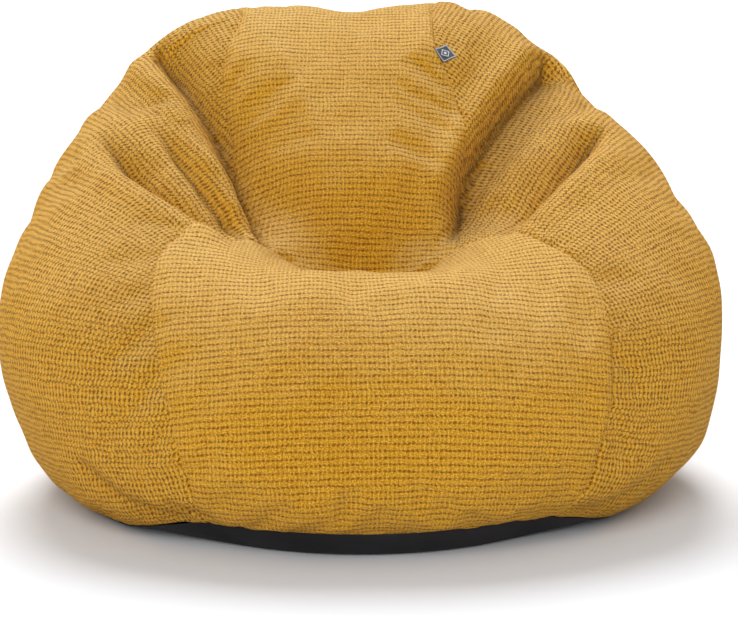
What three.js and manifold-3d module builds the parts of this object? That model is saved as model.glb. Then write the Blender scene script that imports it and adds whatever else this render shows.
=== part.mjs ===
// Bean bag chair: a zipped cover of five fabric panels on a smooth base panel, an inner liner
// and its filling of foam beads. Millimetres, +Z up, the sitter faces -Y.
// The origin is on the floor under the middle of the base.
import * as THREE from "three";
import { mergeVertices } from "three/addons/utils/BufferGeometryUtils.js";
import Module from "manifold-3d";

// ---- Driving dimensions (mm, and degrees where a name says so) ----
// The bag is described by stations round its vertical axis: [degrees from the front, value].
const RIM_RADIUS = [
  [0, 195], [28, 215], [52, 226], [68, 260], [90, 307], [105, 340],
  [118, 356], [130, 357], [142, 343], [153, 325], [165, 301], [180, 279],
];
const RIM_HEIGHT = [
  [0, 326], [28, 328], [52, 345], [68, 365], [90, 421], [105, 473],
  [118, 510], [130, 565], [142, 604], [153, 620], [165, 619], [180, 612],
];
const BELLY_RADIUS = [[0, 362], [25, 378], [45, 400], [70, 452], [90, 477], [115, 460], [145, 452], [180, 452]];
const BELLY_HEIGHT = [[0, 100], [25, 110], [45, 150], [70, 205], [90, 228], [115, 222], [145, 200], [180, 200]];
const FOOT_RADIUS = [[0, 334], [32, 336], [44, 356], [60, 362], [90, 376], [108, 368], [124, 350], [180, 350]];
const FOOT_HEIGHT = [[0, 36], [32, 33], [44, 7], [60, 6], [90, 6], [108, 8], [124, 66], [180, 66]];
const SHOULDER_FULLNESS = [[0, 1.5], [30, 1.55], [60, 1.8], [90, 2.0], [120, 2.1], [150, 1.7], [180, 1.6]];
const FOOT_FULLNESS = [[0, 1.9], [45, 1.7], [90, 1.65], [180, 1.8]];
const HOLLOW_Y = -52;
const HOLLOW_Z = 268;

const COVER_THICKNESS = 3;
const LINER_THICKNESS = 2;
const LINER_CLEARANCE = 9;
const FILL_CLEARANCE = 10;
const SEAM_GAP = 1;

const BASE_THICKNESS = 2.5;
const BASE_FLAT_RADIUS = 305;
const BASE_RIM_CURVE = 1.8;

const ZIP_TAPE_HEIGHT = 11;
const ZIP_TAPE_THICKNESS = 1.2;
const ZIP_HALF_HEIGHT = 14;
const ZIP_CHAIN_HEIGHT = 2.3;
const ZIP_CHAIN_THICKNESS = 2.8;
const ZIP_CHAIN_GAP = 0.9;
const ZIP_CLEARANCE = 0.6;
const SLIDER_LENGTH = 10;
const SLIDER_HEIGHT = 11;
const SLIDER_PLATE = 2.2;
const SLIDER_NECK = 0.8;
const COVER_ZIP = { name: "cover_zip", radius: 351.2, height: 50, from: 136, to: 224, lead: 5.5 };
const LINER_ZIP = { name: "liner_zip", radius: 440.4, height: 200, from: 156, to: 204, lead: 0 };

const WOVEN_LABEL = { width: 22, height: 22, thickness: 1.2, angle: 144, level: 2.34, turn: -20 };
const CARE_LABEL = { width: 38, height: 24, thickness: 0.8, angle: -164, level: 0.5, turn: 0 };

// ---- Materials ----
const finish = (color, roughness, metalness = 0) =>
  new THREE.MeshStandardMaterial({ color, roughness, metalness });
const coverFabric = finish(0xc8912f, 0.95);
const baseFabric = finish(0x211d1f, 0.6);
const linerFabric = finish(0xe9e6df, 0.85);
const beadFoam = finish(0xf6f5f1, 0.8);
const zipTape = finish(0x1d1b1c, 0.85);
const zipCoil = finish(0x2a2829, 0.45);
const sliderMetal = finish(0x3b3a3c, 0.4, 0.9);
const labelWeave = finish(0x232733, 0.8);
const labelSatin = finish(0xf0eee8, 0.6);

const wasm = await Module();
wasm.setup();
const chair = new THREE.Group();
chair.name = "bean_bag_chair";

// ---- Geometry helpers ----
const radians = THREE.MathUtils.degToRad;
const mirror = (points) => points.map(([angle, level]) => [-angle, level]);

// A point on the circle of the given radius, at an angle from the front.
function onCircle(radius, degrees, z) {
  return new THREE.Vector3(radius * Math.sin(radians(degrees)), -radius * Math.cos(radians(degrees)), z);
}

// One closed body from a list of points and triangles.
function closedBody(points, triangles) {
  const geometry = new THREE.BufferGeometry();
  geometry.setAttribute(
    "position",
    new THREE.Float32BufferAttribute(points.flatMap((p) => [p.x, p.y, p.z]), 3),
  );
  geometry.setIndex(triangles.flat());
  return tidied(geometry);
}

// Shared vertices merged, and the triangles that shrank to a line dropped.
function tidied(geometry) {
  geometry.deleteAttribute("normal");
  geometry.deleteAttribute("uv");
  const merged = mergeVertices(geometry, 1e-3);
  const index = Array.from(merged.index.array);
  const kept = [];
  for (let i = 0; i < index.length; i += 3) {
    const [a, b, c] = index.slice(i, i + 3);
    if (a !== b && b !== c && c !== a) kept.push(a, b, c);
  }
  merged.setIndex(kept);
  return merged;
}

function asSolid(geometry) {
  return new wasm.Manifold(
    new wasm.Mesh({
      numProp: 3,
      vertProperties: geometry.attributes.position.array,
      triVerts: new Uint32Array(geometry.index.array),
    }),
  );
}

function asGeometry(solid) {
  const mesh = solid.getMesh();
  const geometry = new THREE.BufferGeometry();
  geometry.setAttribute("position", new THREE.BufferAttribute(mesh.vertProperties, 3));
  geometry.setIndex(new THREE.BufferAttribute(mesh.triVerts, 1));
  return geometry;
}

function addPiece(name, geometry, material) {
  const mesh = new THREE.Mesh(geometry, material);
  mesh.name = name;
  geometry.computeVertexNormals();
  chair.add(mesh);
  return mesh;
}

// Two triangles for each cell of a grid of point numbers.
function gridFaces(rows, columns, numberAt, flip = false) {
  const faces = [];
  for (let i = 0; i < rows; i++) {
    for (let j = 0; j < columns; j++) {
      const a = numberAt(i, j);
      const b = numberAt(i, j + 1);
      const c = numberAt(i + 1, j + 1);
      const d = numberAt(i + 1, j);
      faces.push(flip ? [a, c, b] : [a, b, c], flip ? [a, d, c] : [a, c, d]);
    }
  }
  return faces;
}

// ---- The bag's outer surface ----
// A smooth value between stations that never overshoots them (monotone cubic).
function between(stations, degrees) {
  const angle = Math.abs(((((degrees + 180) % 360) + 360) % 360) - 180);
  const last = stations.length - 1;
  let i = stations.findIndex(([a]) => a > angle) - 1;
  if (i < 0) i = last - 1;
  const gap = (k) => stations[k + 1][0] - stations[k][0];
  const rise = (k) => (stations[k + 1][1] - stations[k][1]) / gap(k);
  const slope = (k) => {
    if (k === 0 || k === last || rise(k - 1) * rise(k) <= 0) return 0;
    const before = 2 * gap(k) + gap(k - 1);
    const after = gap(k) + 2 * gap(k - 1);
    return (before + after) / (before / rise(k - 1) + after / rise(k));
  };
  const t = (angle - stations[i][0]) / gap(i);
  return (
    stations[i][1] * (1 + 2 * t) * (1 - t) ** 2 +
    gap(i) * slope(i) * t * (1 - t) ** 2 +
    stations[i + 1][1] * t * t * (3 - 2 * t) +
    gap(i) * slope(i + 1) * t * t * (t - 1)
  );
}

// The surface by angle and level: level 0 is the foot seam, 1 the belly, 2 the rim and 3 the
// bottom of the seat's hollow.
function surface(degrees, level) {
  const rimRadius = between(RIM_RADIUS, degrees);
  const rimHeight = between(RIM_HEIGHT, degrees);
  const bellyRadius = between(BELLY_RADIUS, degrees);
  const bellyHeight = between(BELLY_HEIGHT, degrees);
  if (level < 1) {
    const turn = (Math.max(level, 0) * Math.PI) / 2;
    const power = 2 / between(FOOT_FULLNESS, degrees);
    const footRadius = between(FOOT_RADIUS, degrees);
    const footHeight = between(FOOT_HEIGHT, degrees);
    const radius = footRadius + (bellyRadius - footRadius) * Math.sin(turn) ** power;
    return onCircle(radius, degrees, bellyHeight - (bellyHeight - footHeight) * Math.cos(turn) ** power);
  }
  if (level < 2) {
    const turn = ((level - 1) * Math.PI) / 2;
    const power = 2 / between(SHOULDER_FULLNESS, degrees);
    const radius = rimRadius + (bellyRadius - rimRadius) * Math.cos(turn) ** power;
    return onCircle(radius, degrees, bellyHeight + (rimHeight - bellyHeight) * Math.sin(turn) ** power);
  }
  const out = Math.max(3 - level, 0);
  const angle = Math.abs(((((degrees + 180) % 360) + 360) % 360) - 180);
  const back = THREE.MathUtils.smoothstep(angle, 60, 150);
  const front = THREE.MathUtils.smoothstep(out, 0, 1);
  const wall = Math.min(Math.max((out - 0.06) / 0.94, 0), 1);
  const leaning =
    0.06 * THREE.MathUtils.smoothstep(out, 0, 0.15) + 0.94 * (1 - (1 - wall) ** 1.75) ** (1 / 1.28);
  const share = front * (1 - back) + leaning * back;
  const point = onCircle(rimRadius * out, degrees, HOLLOW_Z + (rimHeight - HOLLOW_Z) * share);
  point.y += HOLLOW_Y * (1 - THREE.MathUtils.smoothstep(out, 0, 0.95));
  return point;
}

// The same surface over a flat disc of radius 3, which has no seam at the hollow's bottom.
const onDisc = (degrees, level) => onCircle(3 - level, degrees, 0);

function discSurface(x, y) {
  return surface(THREE.MathUtils.radToDeg(Math.atan2(x, -y)), 3 - Math.hypot(x, y));
}

function discPoint(place, depth) {
  const step = 0.02;
  const reach = Math.min(1, (3 - step * 1.5) / Math.max(place.length(), 1e-6));
  const x = place.x * reach;
  const y = place.y * reach;
  const alongX = discSurface(x + step, y).sub(discSurface(x - step, y));
  const alongY = discSurface(x, y + step).sub(discSurface(x, y - step));
  const normal = alongX.cross(alongY).normalize();
  return discSurface(place.x, place.y).addScaledVector(normal, -depth);
}

// ---- Cover panels ----
// A seam is a smooth curve through [degrees, level] points, drawn on the disc.
function seam(points) {
  return new THREE.CatmullRomCurve3(points.map(([angle, level]) => onDisc(angle, level)));
}

// A level stretch of the foot seam between two angles.
function footSeam(from, to) {
  return { getPoint: (t) => onDisc(from + (to - from) * t, 0) };
}

const reversed = (curve) => ({ getPoint: (t) => curve.getPoint(1 - t) });

// A panel between four seams: lower and upper run left to right, left and right run upwards.
function panel(name, { lower, upper, left, right }, columns, rows) {
  const corners = [lower.getPoint(0), lower.getPoint(1), upper.getPoint(0), upper.getPoint(1)];
  const blend = (s, t) => {
    const across = left.getPoint(t).multiplyScalar(1 - s).addScaledVector(right.getPoint(t), s);
    const along = lower.getPoint(s).multiplyScalar(1 - t).addScaledVector(upper.getPoint(s), t);
    const bilinear = corners[0].clone().multiplyScalar((1 - s) * (1 - t));
    bilinear.addScaledVector(corners[1], s * (1 - t));
    bilinear.addScaledVector(corners[2], (1 - s) * t);
    bilinear.addScaledVector(corners[3], s * t);
    return across.add(along).sub(bilinear);
  };
  const layers = [0, COVER_THICKNESS].map((depth) => {
    const grid = [];
    for (let i = 0; i <= rows; i++) {
      for (let j = 0; j <= columns; j++) grid.push(discPoint(blend(j / columns, i / rows), depth));
    }
    return pulledIn(grid, columns, rows);
  });
  const size = layers[0].length;
  const at = (i, j) => i * (columns + 1) + j;
  const inner = (i, j) => size + at(i, j);
  const border = [];
  for (let j = 0; j < columns; j++) border.push(at(0, j));
  for (let i = 0; i < rows; i++) border.push(at(i, columns));
  for (let j = columns; j > 0; j--) border.push(at(rows, j));
  for (let i = rows; i > 0; i--) border.push(at(i, 0));
  const faces = [...gridFaces(rows, columns, at), ...gridFaces(rows, columns, inner, true)];
  border.forEach((a, k) => {
    const b = border[(k + 1) % border.length];
    faces.push([a, b + size, b], [a, a + size, b + size]);
  });
  return addPiece(name, closedBody(layers.flat(), faces), coverFabric);
}

// Moves a grid's edge points half a seam gap towards its inside.
function pulledIn(grid, columns, rows) {
  const at = (i, j) => grid[i * (columns + 1) + j];
  const nearer = (k, end) => (k === 0 ? 1 : k === end ? end - 1 : k);
  return grid.map((point, number) => {
    const i = Math.floor(number / (columns + 1));
    const j = number % (columns + 1);
    const moved = point.clone();
    for (const other of [at(nearer(i, rows), j), at(i, nearer(j, columns))]) {
      const step = other.clone().sub(point);
      if (step.length() > 0) moved.addScaledVector(step.normalize(), SEAM_GAP / 2);
    }
    return moved;
  });
}

const FRONT_SEAM = [[37, 0], [36, 0.55], [37, 1], [44, 1.32], [54, 1.6], [63, 1.87], [73, 2.2], [84, 2.58]];
const BACKREST_SEAM = [[154, 1.85], [150, 2.1], [143, 2.3], [132, 2.42], [120, 2.49], [104, 2.57], [84, 2.58]];
const REAR_SEAM = [[126, 0], [128, 0.7], [134, 1.3], [154, 1.85]];
const FRONT_ANGLE = FRONT_SEAM[0][0];
const REAR_ANGLE = REAR_SEAM[0][0];
const SEAT_SEAM = [[-84, 2.58], [0, 2.9], [84, 2.58]];
const RIDGE_SEAM = [[154, 1.85], [167, 1.84], [180, 1.84], [193, 1.84], [206, 1.85]];

panel(
  "front_panel",
  {
    lower: footSeam(-FRONT_ANGLE, FRONT_ANGLE),
    upper: seam(SEAT_SEAM),
    left: seam(mirror(FRONT_SEAM)),
    right: seam(FRONT_SEAM),
  },
  10,
  14,
);
panel(
  "backrest_panel",
  {
    lower: seam(SEAT_SEAM),
    upper: reversed(seam(RIDGE_SEAM)),
    left: reversed(seam(mirror(BACKREST_SEAM))),
    right: reversed(seam(BACKREST_SEAM)),
  },
  10,
  14,
);
panel(
  "rear_panel",
  {
    lower: footSeam(REAR_ANGLE, 360 - REAR_ANGLE),
    upper: seam(RIDGE_SEAM),
    left: seam(REAR_SEAM),
    right: seam(mirror(REAR_SEAM)),
  },
  10,
  14,
);
panel(
  "side_panel_right",
  {
    lower: footSeam(FRONT_ANGLE, REAR_ANGLE),
    upper: reversed(seam(BACKREST_SEAM)),
    left: seam(FRONT_SEAM),
    right: seam(REAR_SEAM),
  },
  14,
  14,
);
panel(
  "side_panel_left",
  {
    lower: footSeam(-REAR_ANGLE, -FRONT_ANGLE),
    upper: seam(mirror(BACKREST_SEAM)),
    left: seam(mirror(REAR_SEAM)),
    right: seam(mirror(FRONT_SEAM)),
  },
  14,
  14,
);

// ---- Base panel ----
const ROUND_STEPS = 40;
const stepAngle = (j) => (360 * (j % ROUND_STEPS)) / ROUND_STEPS;

// A closed body from rings of points, the first and last of which are single points.
function ringedBody(rings) {
  const points = rings.flat();
  const at = (i, j) => i * ROUND_STEPS + (j % ROUND_STEPS);
  return closedBody(points, gridFaces(rings.length - 1, ROUND_STEPS, at));
}

function ring(pointAt) {
  return Array.from({ length: ROUND_STEPS }, (_, j) => pointAt(stepAngle(j)));
}

// How far the base's edge drops to make room for the zip behind: 0 away from it, 1 along it.
function zipShare(degrees) {
  const fade = 8;
  const edge = Math.abs(degrees - 180) - (COVER_ZIP.to - 180);
  return 1 - THREE.MathUtils.smoothstep(edge, 0, fade);
}

function baseEdge(degrees) {
  const top = between(FOOT_HEIGHT, degrees) - SEAM_GAP;
  const belowZip = COVER_ZIP.height - ZIP_HALF_HEIGHT - SEAM_GAP;
  return top + (belowZip - top) * zipShare(degrees);
}

// The base's underside: flat, then turning up to its edge.
function baseSurface(degrees, share, lift) {
  const edgeRadius = between(FOOT_RADIUS, degrees);
  const radius = BASE_FLAT_RADIUS + (edgeRadius - BASE_FLAT_RADIUS) * share;
  return onCircle(radius, degrees, (baseEdge(degrees) - BASE_THICKNESS) * share ** BASE_RIM_CURVE + lift);
}

const centre = (z) => ring(() => new THREE.Vector3(0, 0, z));
const baseShares = [0, 0.25, 0.5, 0.75, 1];
const baseRings = [
  centre(0),
  ...baseShares.map((share) => ring((a) => baseSurface(a, share, 0))),
  ...baseShares.toReversed().map((share) => ring((a) => baseSurface(a, share, BASE_THICKNESS))),
  centre(BASE_THICKNESS),
];
addPiece("base_panel", ringedBody(baseRings), baseFabric);

// ---- Zips ----
// A profile of [radius, z] points swept round the vertical axis between two angles.
function swept(profile, from, to, steps) {
  const outline = profile.map(([r, z]) => new THREE.Vector2(r, z));
  const ordered = THREE.ShapeUtils.isClockWise(outline) ? outline.reverse() : outline;
  const points = [];
  for (let i = 0; i <= steps; i++) {
    const degrees = from + ((to - from) * i) / steps;
    points.push(...ordered.map((p) => onCircle(p.x, degrees, p.y)));
  }
  const n = ordered.length;
  const caps = THREE.ShapeUtils.triangulateShape(ordered, []);
  const at = (i, j) => i * n + (j % n);
  const faces = gridFaces(steps, n, at);
  for (const [a, b, c] of caps) {
    faces.push([a, c, b]);
    faces.push([steps * n + a, steps * n + b, steps * n + c]);
  }
  faces.forEach((face) => face.reverse());
  return closedBody(points, faces);
}

const rectangle = (r0, r1, z0, z1) => [[r0, z0], [r1, z0], [r1, z1], [r0, z1]];

// A zip round the bag: two tapes, two chains, a slider and a stop at each end. The upper tape
// runs on past both ends by the lead, in degrees, to close the seam beside the zip.
function zip({ name, radius, height, from, to, lead }) {
  const steps = Math.round((to - from) / 3.4);
  const middle = radius - ZIP_TAPE_THICKNESS / 2;
  const chainIn = middle - ZIP_CHAIN_THICKNESS / 2;
  const chainOut = middle + ZIP_CHAIN_THICKNESS / 2;
  const stop = THREE.MathUtils.radToDeg(4 / radius);
  for (const [side, sign] of [["upper", 1], ["lower", -1]]) {
    const tape = rectangle(
      radius - ZIP_TAPE_THICKNESS,
      radius,
      height + sign * (ZIP_HALF_HEIGHT - ZIP_TAPE_HEIGHT + 0.5),
      height + sign * (ZIP_HALF_HEIGHT - SEAM_GAP / 2),
    );
    const extra = side === "upper" ? lead : 0;
    addPiece(`${name}_${side}_tape`, swept(tape, from - extra, to + extra, steps), zipTape);
    const chain = rectangle(
      chainIn,
      chainOut,
      height + sign * ZIP_CHAIN_GAP,
      height + sign * (ZIP_CHAIN_GAP + ZIP_CHAIN_HEIGHT),
    );
    addPiece(`${name}_${side}_chain`, swept(chain, from + 2 * stop, to - 2 * stop, steps), zipCoil);
  }
  const half = SLIDER_HEIGHT / 2;
  const neck = SLIDER_NECK / 2;
  const inside = chainIn - ZIP_CLEARANCE;
  const outside = chainOut + ZIP_CLEARANCE;
  const bridge = 1.6;
  const slider = [
    [inside - SLIDER_PLATE, height - half],
    [inside, height - half],
    [inside, height - neck],
    [outside, height - neck],
    [outside, height - half],
    [outside + SLIDER_PLATE, height - half],
    [outside + SLIDER_PLATE, height - bridge],
    [outside + 2 * SLIDER_PLATE, height - bridge],
    [outside + 2 * SLIDER_PLATE, height + bridge],
    [outside + SLIDER_PLATE, height + bridge],
    [outside + SLIDER_PLATE, height + half],
    [outside, height + half],
    [outside, height + neck],
    [inside, height + neck],
    [inside, height + half],
    [inside - SLIDER_PLATE, height + half],
  ];
  const length = THREE.MathUtils.radToDeg(SLIDER_LENGTH / radius);
  const start = from + 2.5 * stop;
  addPiece(`${name}_slider`, swept(slider, start, start + length, 2), sliderMetal);
  const block = rectangle(chainIn, chainOut, height - 2.4, height + 2.4);
  addPiece(`${name}_top_stop`, swept(block, from + 0.8 * stop, from + 1.8 * stop, 1), sliderMetal);
  addPiece(`${name}_bottom_stop`, swept(block, to - 1.8 * stop, to - 0.8 * stop, 1), sliderMetal);
}
zip(COVER_ZIP);
zip(LINER_ZIP);

// ---- Liner and filling ----
// A closed body that follows the bag's surface at a depth, closed below at a height.
const LEVELS = [3, 2.96, 2.92, 2.87, 2.8, 2.65, 2.45, 2.25, 2.1, 2, 1.85, 1.65, 1.4, 1, 0.6, 0.3, 0];

function insideBody(depth, floorZ) {
  const rings = LEVELS.map((level) => ring((a) => discPoint(onDisc(a, level), depth)));
  const bottom = BASE_FLAT_RADIUS - depth;
  rings.push(ring((a) => onCircle(bottom, a, floorZ)), centre(floorZ));
  rings.forEach((points) => points.reverse());
  return ringedBody(rings);
}

const linerDepth = COVER_THICKNESS + LINER_CLEARANCE;
const linerInside = linerDepth + LINER_THICKNESS;
const linerFloor = BASE_THICKNESS + LINER_CLEARANCE;
const linerOuter = asSolid(insideBody(linerDepth, linerFloor));
const linerHollow = asSolid(insideBody(linerInside, linerFloor + LINER_THICKNESS));
const opening = rectangle(
  LINER_ZIP.radius - 30,
  LINER_ZIP.radius + 30,
  LINER_ZIP.height - ZIP_HALF_HEIGHT,
  LINER_ZIP.height + ZIP_HALF_HEIGHT,
);
const linerOpening = asSolid(swept(opening, LINER_ZIP.from - 0.1, LINER_ZIP.to + 0.1, 20));
const liner = linerOuter.subtract(linerHollow).subtract(linerOpening);
addPiece("liner_bag", asGeometry(liner), linerFabric);

const fillDepth = linerInside + FILL_CLEARANCE;
addPiece("bead_fill", insideBody(fillDepth, linerFloor + LINER_THICKNESS + LINER_CLEARANCE), beadFoam);

// ---- Labels ----
// A small flat label sewn on the cover, turned in the plane of the fabric.
function label(name, { width, height, thickness, angle, level, turn }, material) {
  const place = onDisc(angle, level);
  const lift = SEAM_GAP + 0.6;
  const bottom = discPoint(place, 0);
  const normal = bottom.clone().sub(discPoint(place, 1)).normalize();
  const upward = surface(angle, level < 2 ? level + 0.02 : level - 0.02).sub(surface(angle, level));
  upward.addScaledVector(normal, -upward.dot(normal)).normalize();
  const across = upward.clone().cross(normal);
  const mesh = addPiece(name, tidied(new THREE.BoxGeometry(width, height, thickness)), material);
  mesh.quaternion.setFromRotationMatrix(new THREE.Matrix4().makeBasis(across, upward, normal));
  mesh.rotateZ(radians(turn));
  mesh.position.copy(bottom.addScaledVector(normal, lift + thickness / 2));
}
label("woven_label", WOVEN_LABEL, labelWeave);
label("care_label", CARE_LABEL, labelSatin);

export default chair;
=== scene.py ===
"""Bean bag chair: a zipped cover of chunky woven panels on a smooth base, with its liner and filling.

The cover's panels are cut along seams drawn on the bag's form, filled out by a cloth pass, creased
along the deep folds beside the backrest and dressed with a weave that runs true to each flat cut.
"""
import logging
import math
from dataclasses import dataclass, field
from enum import Enum
from typing import Any, Callable, Iterable, Sequence

import bmesh
import bpy
import numpy as np
from mathutils import Matrix, Vector
from mathutils.bvhtree import BVHTree


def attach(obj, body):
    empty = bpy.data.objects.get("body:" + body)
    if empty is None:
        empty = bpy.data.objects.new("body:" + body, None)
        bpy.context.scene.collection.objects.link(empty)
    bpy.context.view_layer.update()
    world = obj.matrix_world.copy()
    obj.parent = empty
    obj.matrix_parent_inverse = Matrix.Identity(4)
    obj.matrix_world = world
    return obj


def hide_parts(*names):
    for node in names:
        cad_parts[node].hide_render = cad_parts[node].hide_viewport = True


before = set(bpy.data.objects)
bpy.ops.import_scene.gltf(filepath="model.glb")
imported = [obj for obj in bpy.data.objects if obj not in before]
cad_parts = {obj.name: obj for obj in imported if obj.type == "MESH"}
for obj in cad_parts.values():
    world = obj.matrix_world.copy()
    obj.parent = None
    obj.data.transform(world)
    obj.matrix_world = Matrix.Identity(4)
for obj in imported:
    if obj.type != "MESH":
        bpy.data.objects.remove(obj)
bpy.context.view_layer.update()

MM = 0.001
WEAVE_MAP = "Weave"
# point attribute holding the painted shade inside the folds' creases
PAINTED_CREASE_SHADE = "crease"
BODY = "bag"
FOLD_STEP = 0.07  # folds sink along normals evened out over this much of the disc
log = logging.getLogger("bean_bag")
Stations = tuple[tuple[float, float], ...]
Colour = tuple[float, float, float]


class Held(Enum):
    """How a sheet of cloth is held, in the frame's words."""

    STRETCHED = "stretched"
    LAID = "laid"


class ZipSide(Enum):
    """The two halves of a zip, by the way they lie from its middle."""

    UPPER = 1
    LOWER = -1


# ---------------------------------------------------------------- small numeric helpers


def smooth_step(low: float, high: float, value: np.ndarray) -> np.ndarray:
    """A soft step.

    Args:
        low: Where the step starts, at 0.
        high: Where the step ends, at 1.
        value: The values to step.

    Returns:
        Values from 0 to 1.
    """
    t = np.clip((value - low) / (high - low), 0, 1)
    return t * t * (3 - 2 * t)


def bell(value: np.ndarray, width: float) -> np.ndarray:
    """A bell of height 1 round zero, falling to 1/e at the given width."""
    return np.exp(-((value / width) ** 2))


def around(degrees: np.ndarray) -> np.ndarray:
    """An angle's distance from the front, from 0 to 180 degrees."""
    return np.abs((degrees + 180) % 360 - 180)


def between(stations: Stations, degrees: np.ndarray) -> np.ndarray:
    """A smooth value round the bag that never overshoots its stations (monotone cubic).

    Args:
        stations: Pairs of degrees from the front and value.
        degrees: Angles from the front.

    Returns:
        The value at each angle.
    """
    at = np.array([s[0] for s in stations], float)
    value = np.array([s[1] for s in stations], float)
    gap = np.diff(at)
    rise = np.diff(value) / gap
    slope = np.zeros_like(value)
    for k in range(1, len(at) - 1):
        if rise[k - 1] * rise[k] > 0:
            before = 2 * gap[k] + gap[k - 1]
            after = gap[k] + 2 * gap[k - 1]
            slope[k] = (before + after) / (before / rise[k - 1] + after / rise[k])
    angle = around(degrees)
    i = np.clip(np.searchsorted(at, angle, side="right") - 1, 0, len(at) - 2)
    t = (angle - at[i]) / gap[i]
    return (
        value[i] * (1 + 2 * t) * (1 - t) ** 2
        + gap[i] * slope[i] * t * (1 - t) ** 2
        + value[i + 1] * t * t * (3 - 2 * t)
        + gap[i] * slope[i + 1] * t * t * (t - 1)
    )


def ripple(points: np.ndarray, wave: float, seed: float) -> np.ndarray:
    """Gentle unevenness with no direction, from a few crossed waves.

    Args:
        points: Positions in millimetres, (..., 3).
        wave: The typical length of a swell, in millimetres.
        seed: Shifts the pattern.

    Returns:
        Values from about -1 to 1.
    """
    total = np.zeros(points.shape[:-1])
    for k in range(6):
        turn = seed * 1.7 + k * 2.399
        way = np.array([math.cos(turn), math.sin(turn), math.cos(turn * 1.3 + seed)])
        length = wave * (0.75 + 0.11 * k)
        total += np.sin(2 * math.pi * (points @ way) / length + seed * 5 + k * 1.9)
    return total / 3.2


def beside_mean(grid: np.ndarray) -> np.ndarray:
    """The mean of each value's four neighbours, (rows, columns)."""
    padded = np.pad(grid, 1, mode="edge")
    return (padded[:-2, 1:-1] + padded[2:, 1:-1] + padded[1:-1, :-2] + padded[1:-1, 2:]) / 4


def refined(grid: np.ndarray) -> np.ndarray:
    """Doubles a grid's cells both ways with a smooth four-point rule.

    Args:
        grid: Values on a grid, (rows, columns, n).

    Returns:
        The finer grid, (2 rows - 1, 2 columns - 1, n).
    """
    for axis in (0, 1):
        a = np.moveaxis(grid, axis, 0)
        before = np.concatenate([2 * a[:1] - a[1:2], a[:-2]])
        after = np.concatenate([a[2:], 2 * a[-1:] - a[-2:-1]])
        middle = (9 * (a[:-1] + a[1:]) - before - after) / 16
        out = np.empty((2 * len(a) - 1, *a.shape[1:]))
        out[0::2] = a
        out[1::2] = middle
        grid = np.moveaxis(out, 0, axis)
    return grid


# ---------------------------------------------------------------- the bag's form


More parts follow.
